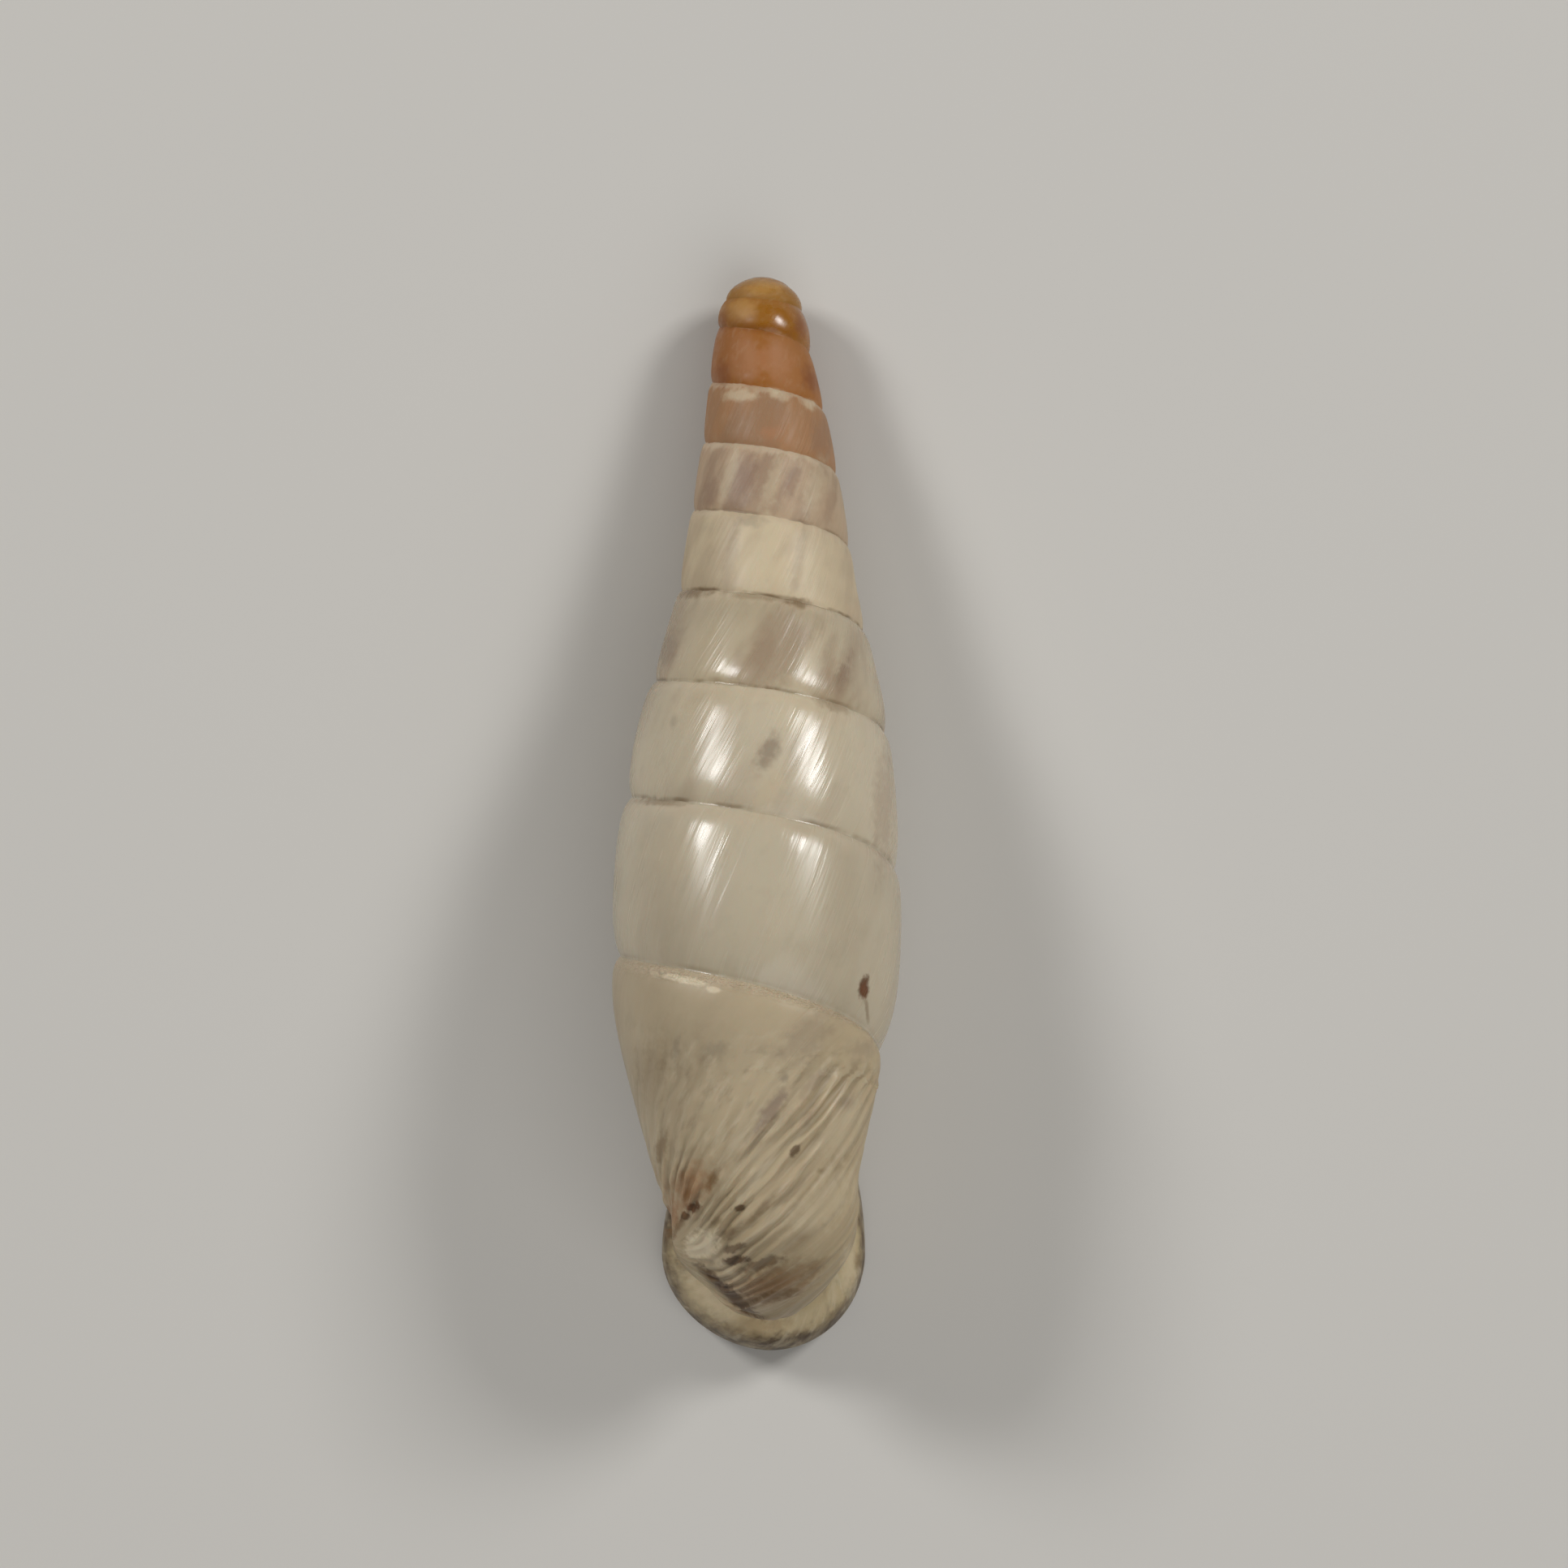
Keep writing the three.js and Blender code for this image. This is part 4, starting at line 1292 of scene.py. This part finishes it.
    def line_height(self):
        """Height of the fine growth lines, and of the crinkles under the last suture."""
        turn, share = self.place["Turn"], self.place["Share"]
        lines = self.streaks("fine lines") * FINE_LINES + self.streaks("coarse lines") * COARSE_LINES
        crinkled = share.step(*CRINKLES_BELOW, CRINKLE_HEIGHT, 0.0) * turn.step(*CRINKLE_TURNS)
        return lines * turn.step(*LINE_TURNS, LINES_AT_TIP, 1.0) + self.streaks("crinkles") * crinkled

    def build(self):
        """Joins everything into the shader."""
        colour = self.neck_colour(self.suture_colours(self.growth_colour()))
        colour = self.marked(self.mottled(self.lip_colour(colour)))
        lines = {"Height": self.line_height(), "Distance": self.finish.line_depth, "Strength": 1.0}
        values = {
            "Base Color": self.tint(self.place["Mouth"], colour, "passage_colour"),
            "Roughness": self.roughness(),
            "Normal": put_out(self.tree, "ShaderNodeBump", lines),
            "IOR": REFRACTION,
            "Subsurface Weight": SPREAD_SHARE,
            "Subsurface Scale": SPREAD_REACH * MILLIMETRE,
        }
        surface = put_out(self.tree, "ShaderNodeBsdfPrincipled", values)
        new_node(self.tree, "ShaderNodeOutputMaterial", {"Surface": surface})
        return self.material


def ramp_colour(value):
    """A ramp stop from an 8-bit colour or from a plain number."""
    return tone(*value) if isinstance(value, tuple) else (value, value, value, 1)


def plain_material(name, colour, roughness):
    """An even material."""
    material = bpy.data.materials.new(name)
    material.use_nodes = True
    surface = material.node_tree.nodes["Principled BSDF"]
    surface.inputs["Base Color"].default_value = colour
    surface.inputs["Roughness"].default_value = roughness
    return material


class SNAILSHELL_OT_shell(bpy.types.Operator):
    """Coils the shell, joins the lip to it, opens the mouth and lays it down"""

    bl_idname = "snailshell.shell"
    bl_label = "Build Shell"

    def execute(self, context):
        material = ShellMaterial(context.scene.snail_finish).build()
        shell = coil_shell(context.scene.snail_shape, material)
        lip = ring_solid("lip", LIP_OUTSIDE, LIP_LEVELS, LIP_PLACE)
        combine(shell, lip, "UNION")
        ease_join(shell.data, JOIN_REACH, JOIN_ROUNDS)
        passage = ring_solid("passage", PASSAGE, PASSAGE_LEVELS, PASSAGE_PLACE)
        combine(shell, passage, "DIFFERENCE")
        for middle, half, lean in LAMELLAE:
            combine(shell, lamella(middle, half, lean), "UNION")
        shell.data.materials.clear()
        shell.data.materials.append(material)
        shell.data.shade_smooth()
        lay_down(shell.data)
        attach(shell, "root")
        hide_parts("shell")
        return {"FINISHED"}


class SNAILSHELL_OT_stage(bpy.types.Operator):
    """Sets the floor, the soft lights and the camera that looks straight down"""

    bl_idname = "snailshell.stage"
    bl_label = "Set Stage"

    def execute(self, context):
        stage = context.scene.snail_stage
        lay_floor(stage)
        for name, side in (("left light", -1), ("right light", 1)):
            place = (side * SIDE_LIGHT_AWAY, SIDE_LIGHT_ALONG, SIDE_LIGHT_HEIGHT)
            hang_light(name, Vector(place), SIDE_LIGHT_SIZE, stage.key_power)
        overhead_power = stage.key_power * OVERHEAD_SHARE
        hang_light("overhead light", Vector(OVERHEAD_PLACE), OVERHEAD_SIZE, overhead_power)
        light_sky(context.scene, stage.sky_strength)
        set_camera(context.scene)
        context.scene.view_settings.view_transform = "Standard"
        return {"FINISHED"}


def lay_floor(stage):
    """The plain pale floor."""
    bpy.ops.mesh.primitive_plane_add(size=FLOOR_SIZE)
    floor = bpy.context.object
    floor.name = "floor"
    floor.data.materials.append(plain_material("floor", (*stage.floor_colour, 1), FLOOR_ROUGHNESS))


def hang_light(name, place, size, power):
    """A square soft light aimed at the shell."""
    light = bpy.data.lights.new(name, "AREA")
    light.size = size
    light.energy = power
    lamp = bpy.data.objects.new(name, light)
    lamp.location = place
    lamp.rotation_mode = "QUATERNION"
    lamp.rotation_quaternion = (-place).to_track_quat("-Z", "Y")
    bpy.context.collection.objects.link(lamp)


def light_sky(scene, strength):
    """Even light from all around."""
    world = bpy.data.worlds.new("studio")
    world.use_nodes = True
    background = world.node_tree.nodes["Background"]
    background.inputs["Color"].default_value = SKY_COLOUR
    background.inputs["Strength"].default_value = strength
    scene.world = world


def set_camera(scene):
    """The camera that looks straight down on the shell."""
    camera = bpy.data.cameras.new("camera")
    axis_height = (FRAME_HIGH.z - FRAME_LOW.z) / MILLIMETRE / 2
    camera.sensor_width = SENSOR_WIDTH
    camera.lens = SENSOR_WIDTH * (CAMERA_HEIGHT - axis_height) / FIELD_WIDTH
    camera.clip_start = CLIP_START
    viewer = bpy.data.objects.new("camera", camera)
    viewer.location = Vector((FIELD_ACROSS, FIELD_ALONG, CAMERA_HEIGHT)) * MILLIMETRE
    bpy.context.collection.objects.link(viewer)
    scene.camera = viewer


class SNAILSHELL_PT_panel(bpy.types.Panel):
    """Sizes, finish and stage of the shell"""

    bl_idname = "SNAILSHELL_PT_panel"
    bl_label = "Door Snail Shell"
    bl_space_type = "VIEW_3D"
    bl_region_type = "UI"
    bl_category = "Snail Shell"

    def draw(self, context):
        scene = context.scene
        groups = (
            (scene.snail_shape, SNAILSHELL_OT_shell),
            (scene.snail_finish, None),
            (scene.snail_stage, SNAILSHELL_OT_stage),
        )
        for values, operator in groups:
            box = self.layout.box()
            for name in values.__annotations__:
                box.prop(values, name)
            if operator:
                box.operator(operator.bl_idname)


CLASSES = (
    ShellShape,
    ShellFinish,
    StudioStage,
    SNAILSHELL_OT_shell,
    SNAILSHELL_OT_stage,
    SNAILSHELL_PT_panel,
)


def register():
    """Registers the add-on's classes and settings."""
    for item in CLASSES:
        bpy.utils.register_class(item)
    bpy.types.Scene.snail_shape = PointerProperty(type=ShellShape)
    bpy.types.Scene.snail_finish = PointerProperty(type=ShellFinish)
    bpy.types.Scene.snail_stage = PointerProperty(type=StudioStage)


def unregister():
    """Removes the add-on's settings and classes."""
    del bpy.types.Scene.snail_stage
    del bpy.types.Scene.snail_finish
    del bpy.types.Scene.snail_shape
    for item in reversed(CLASSES):
        bpy.utils.unregister_class(item)


def main():
    """Builds the shell and its stage."""
    register()
    bpy.ops.snailshell.shell()
    bpy.ops.snailshell.stage()


if __name__ == "__main__":
    main()
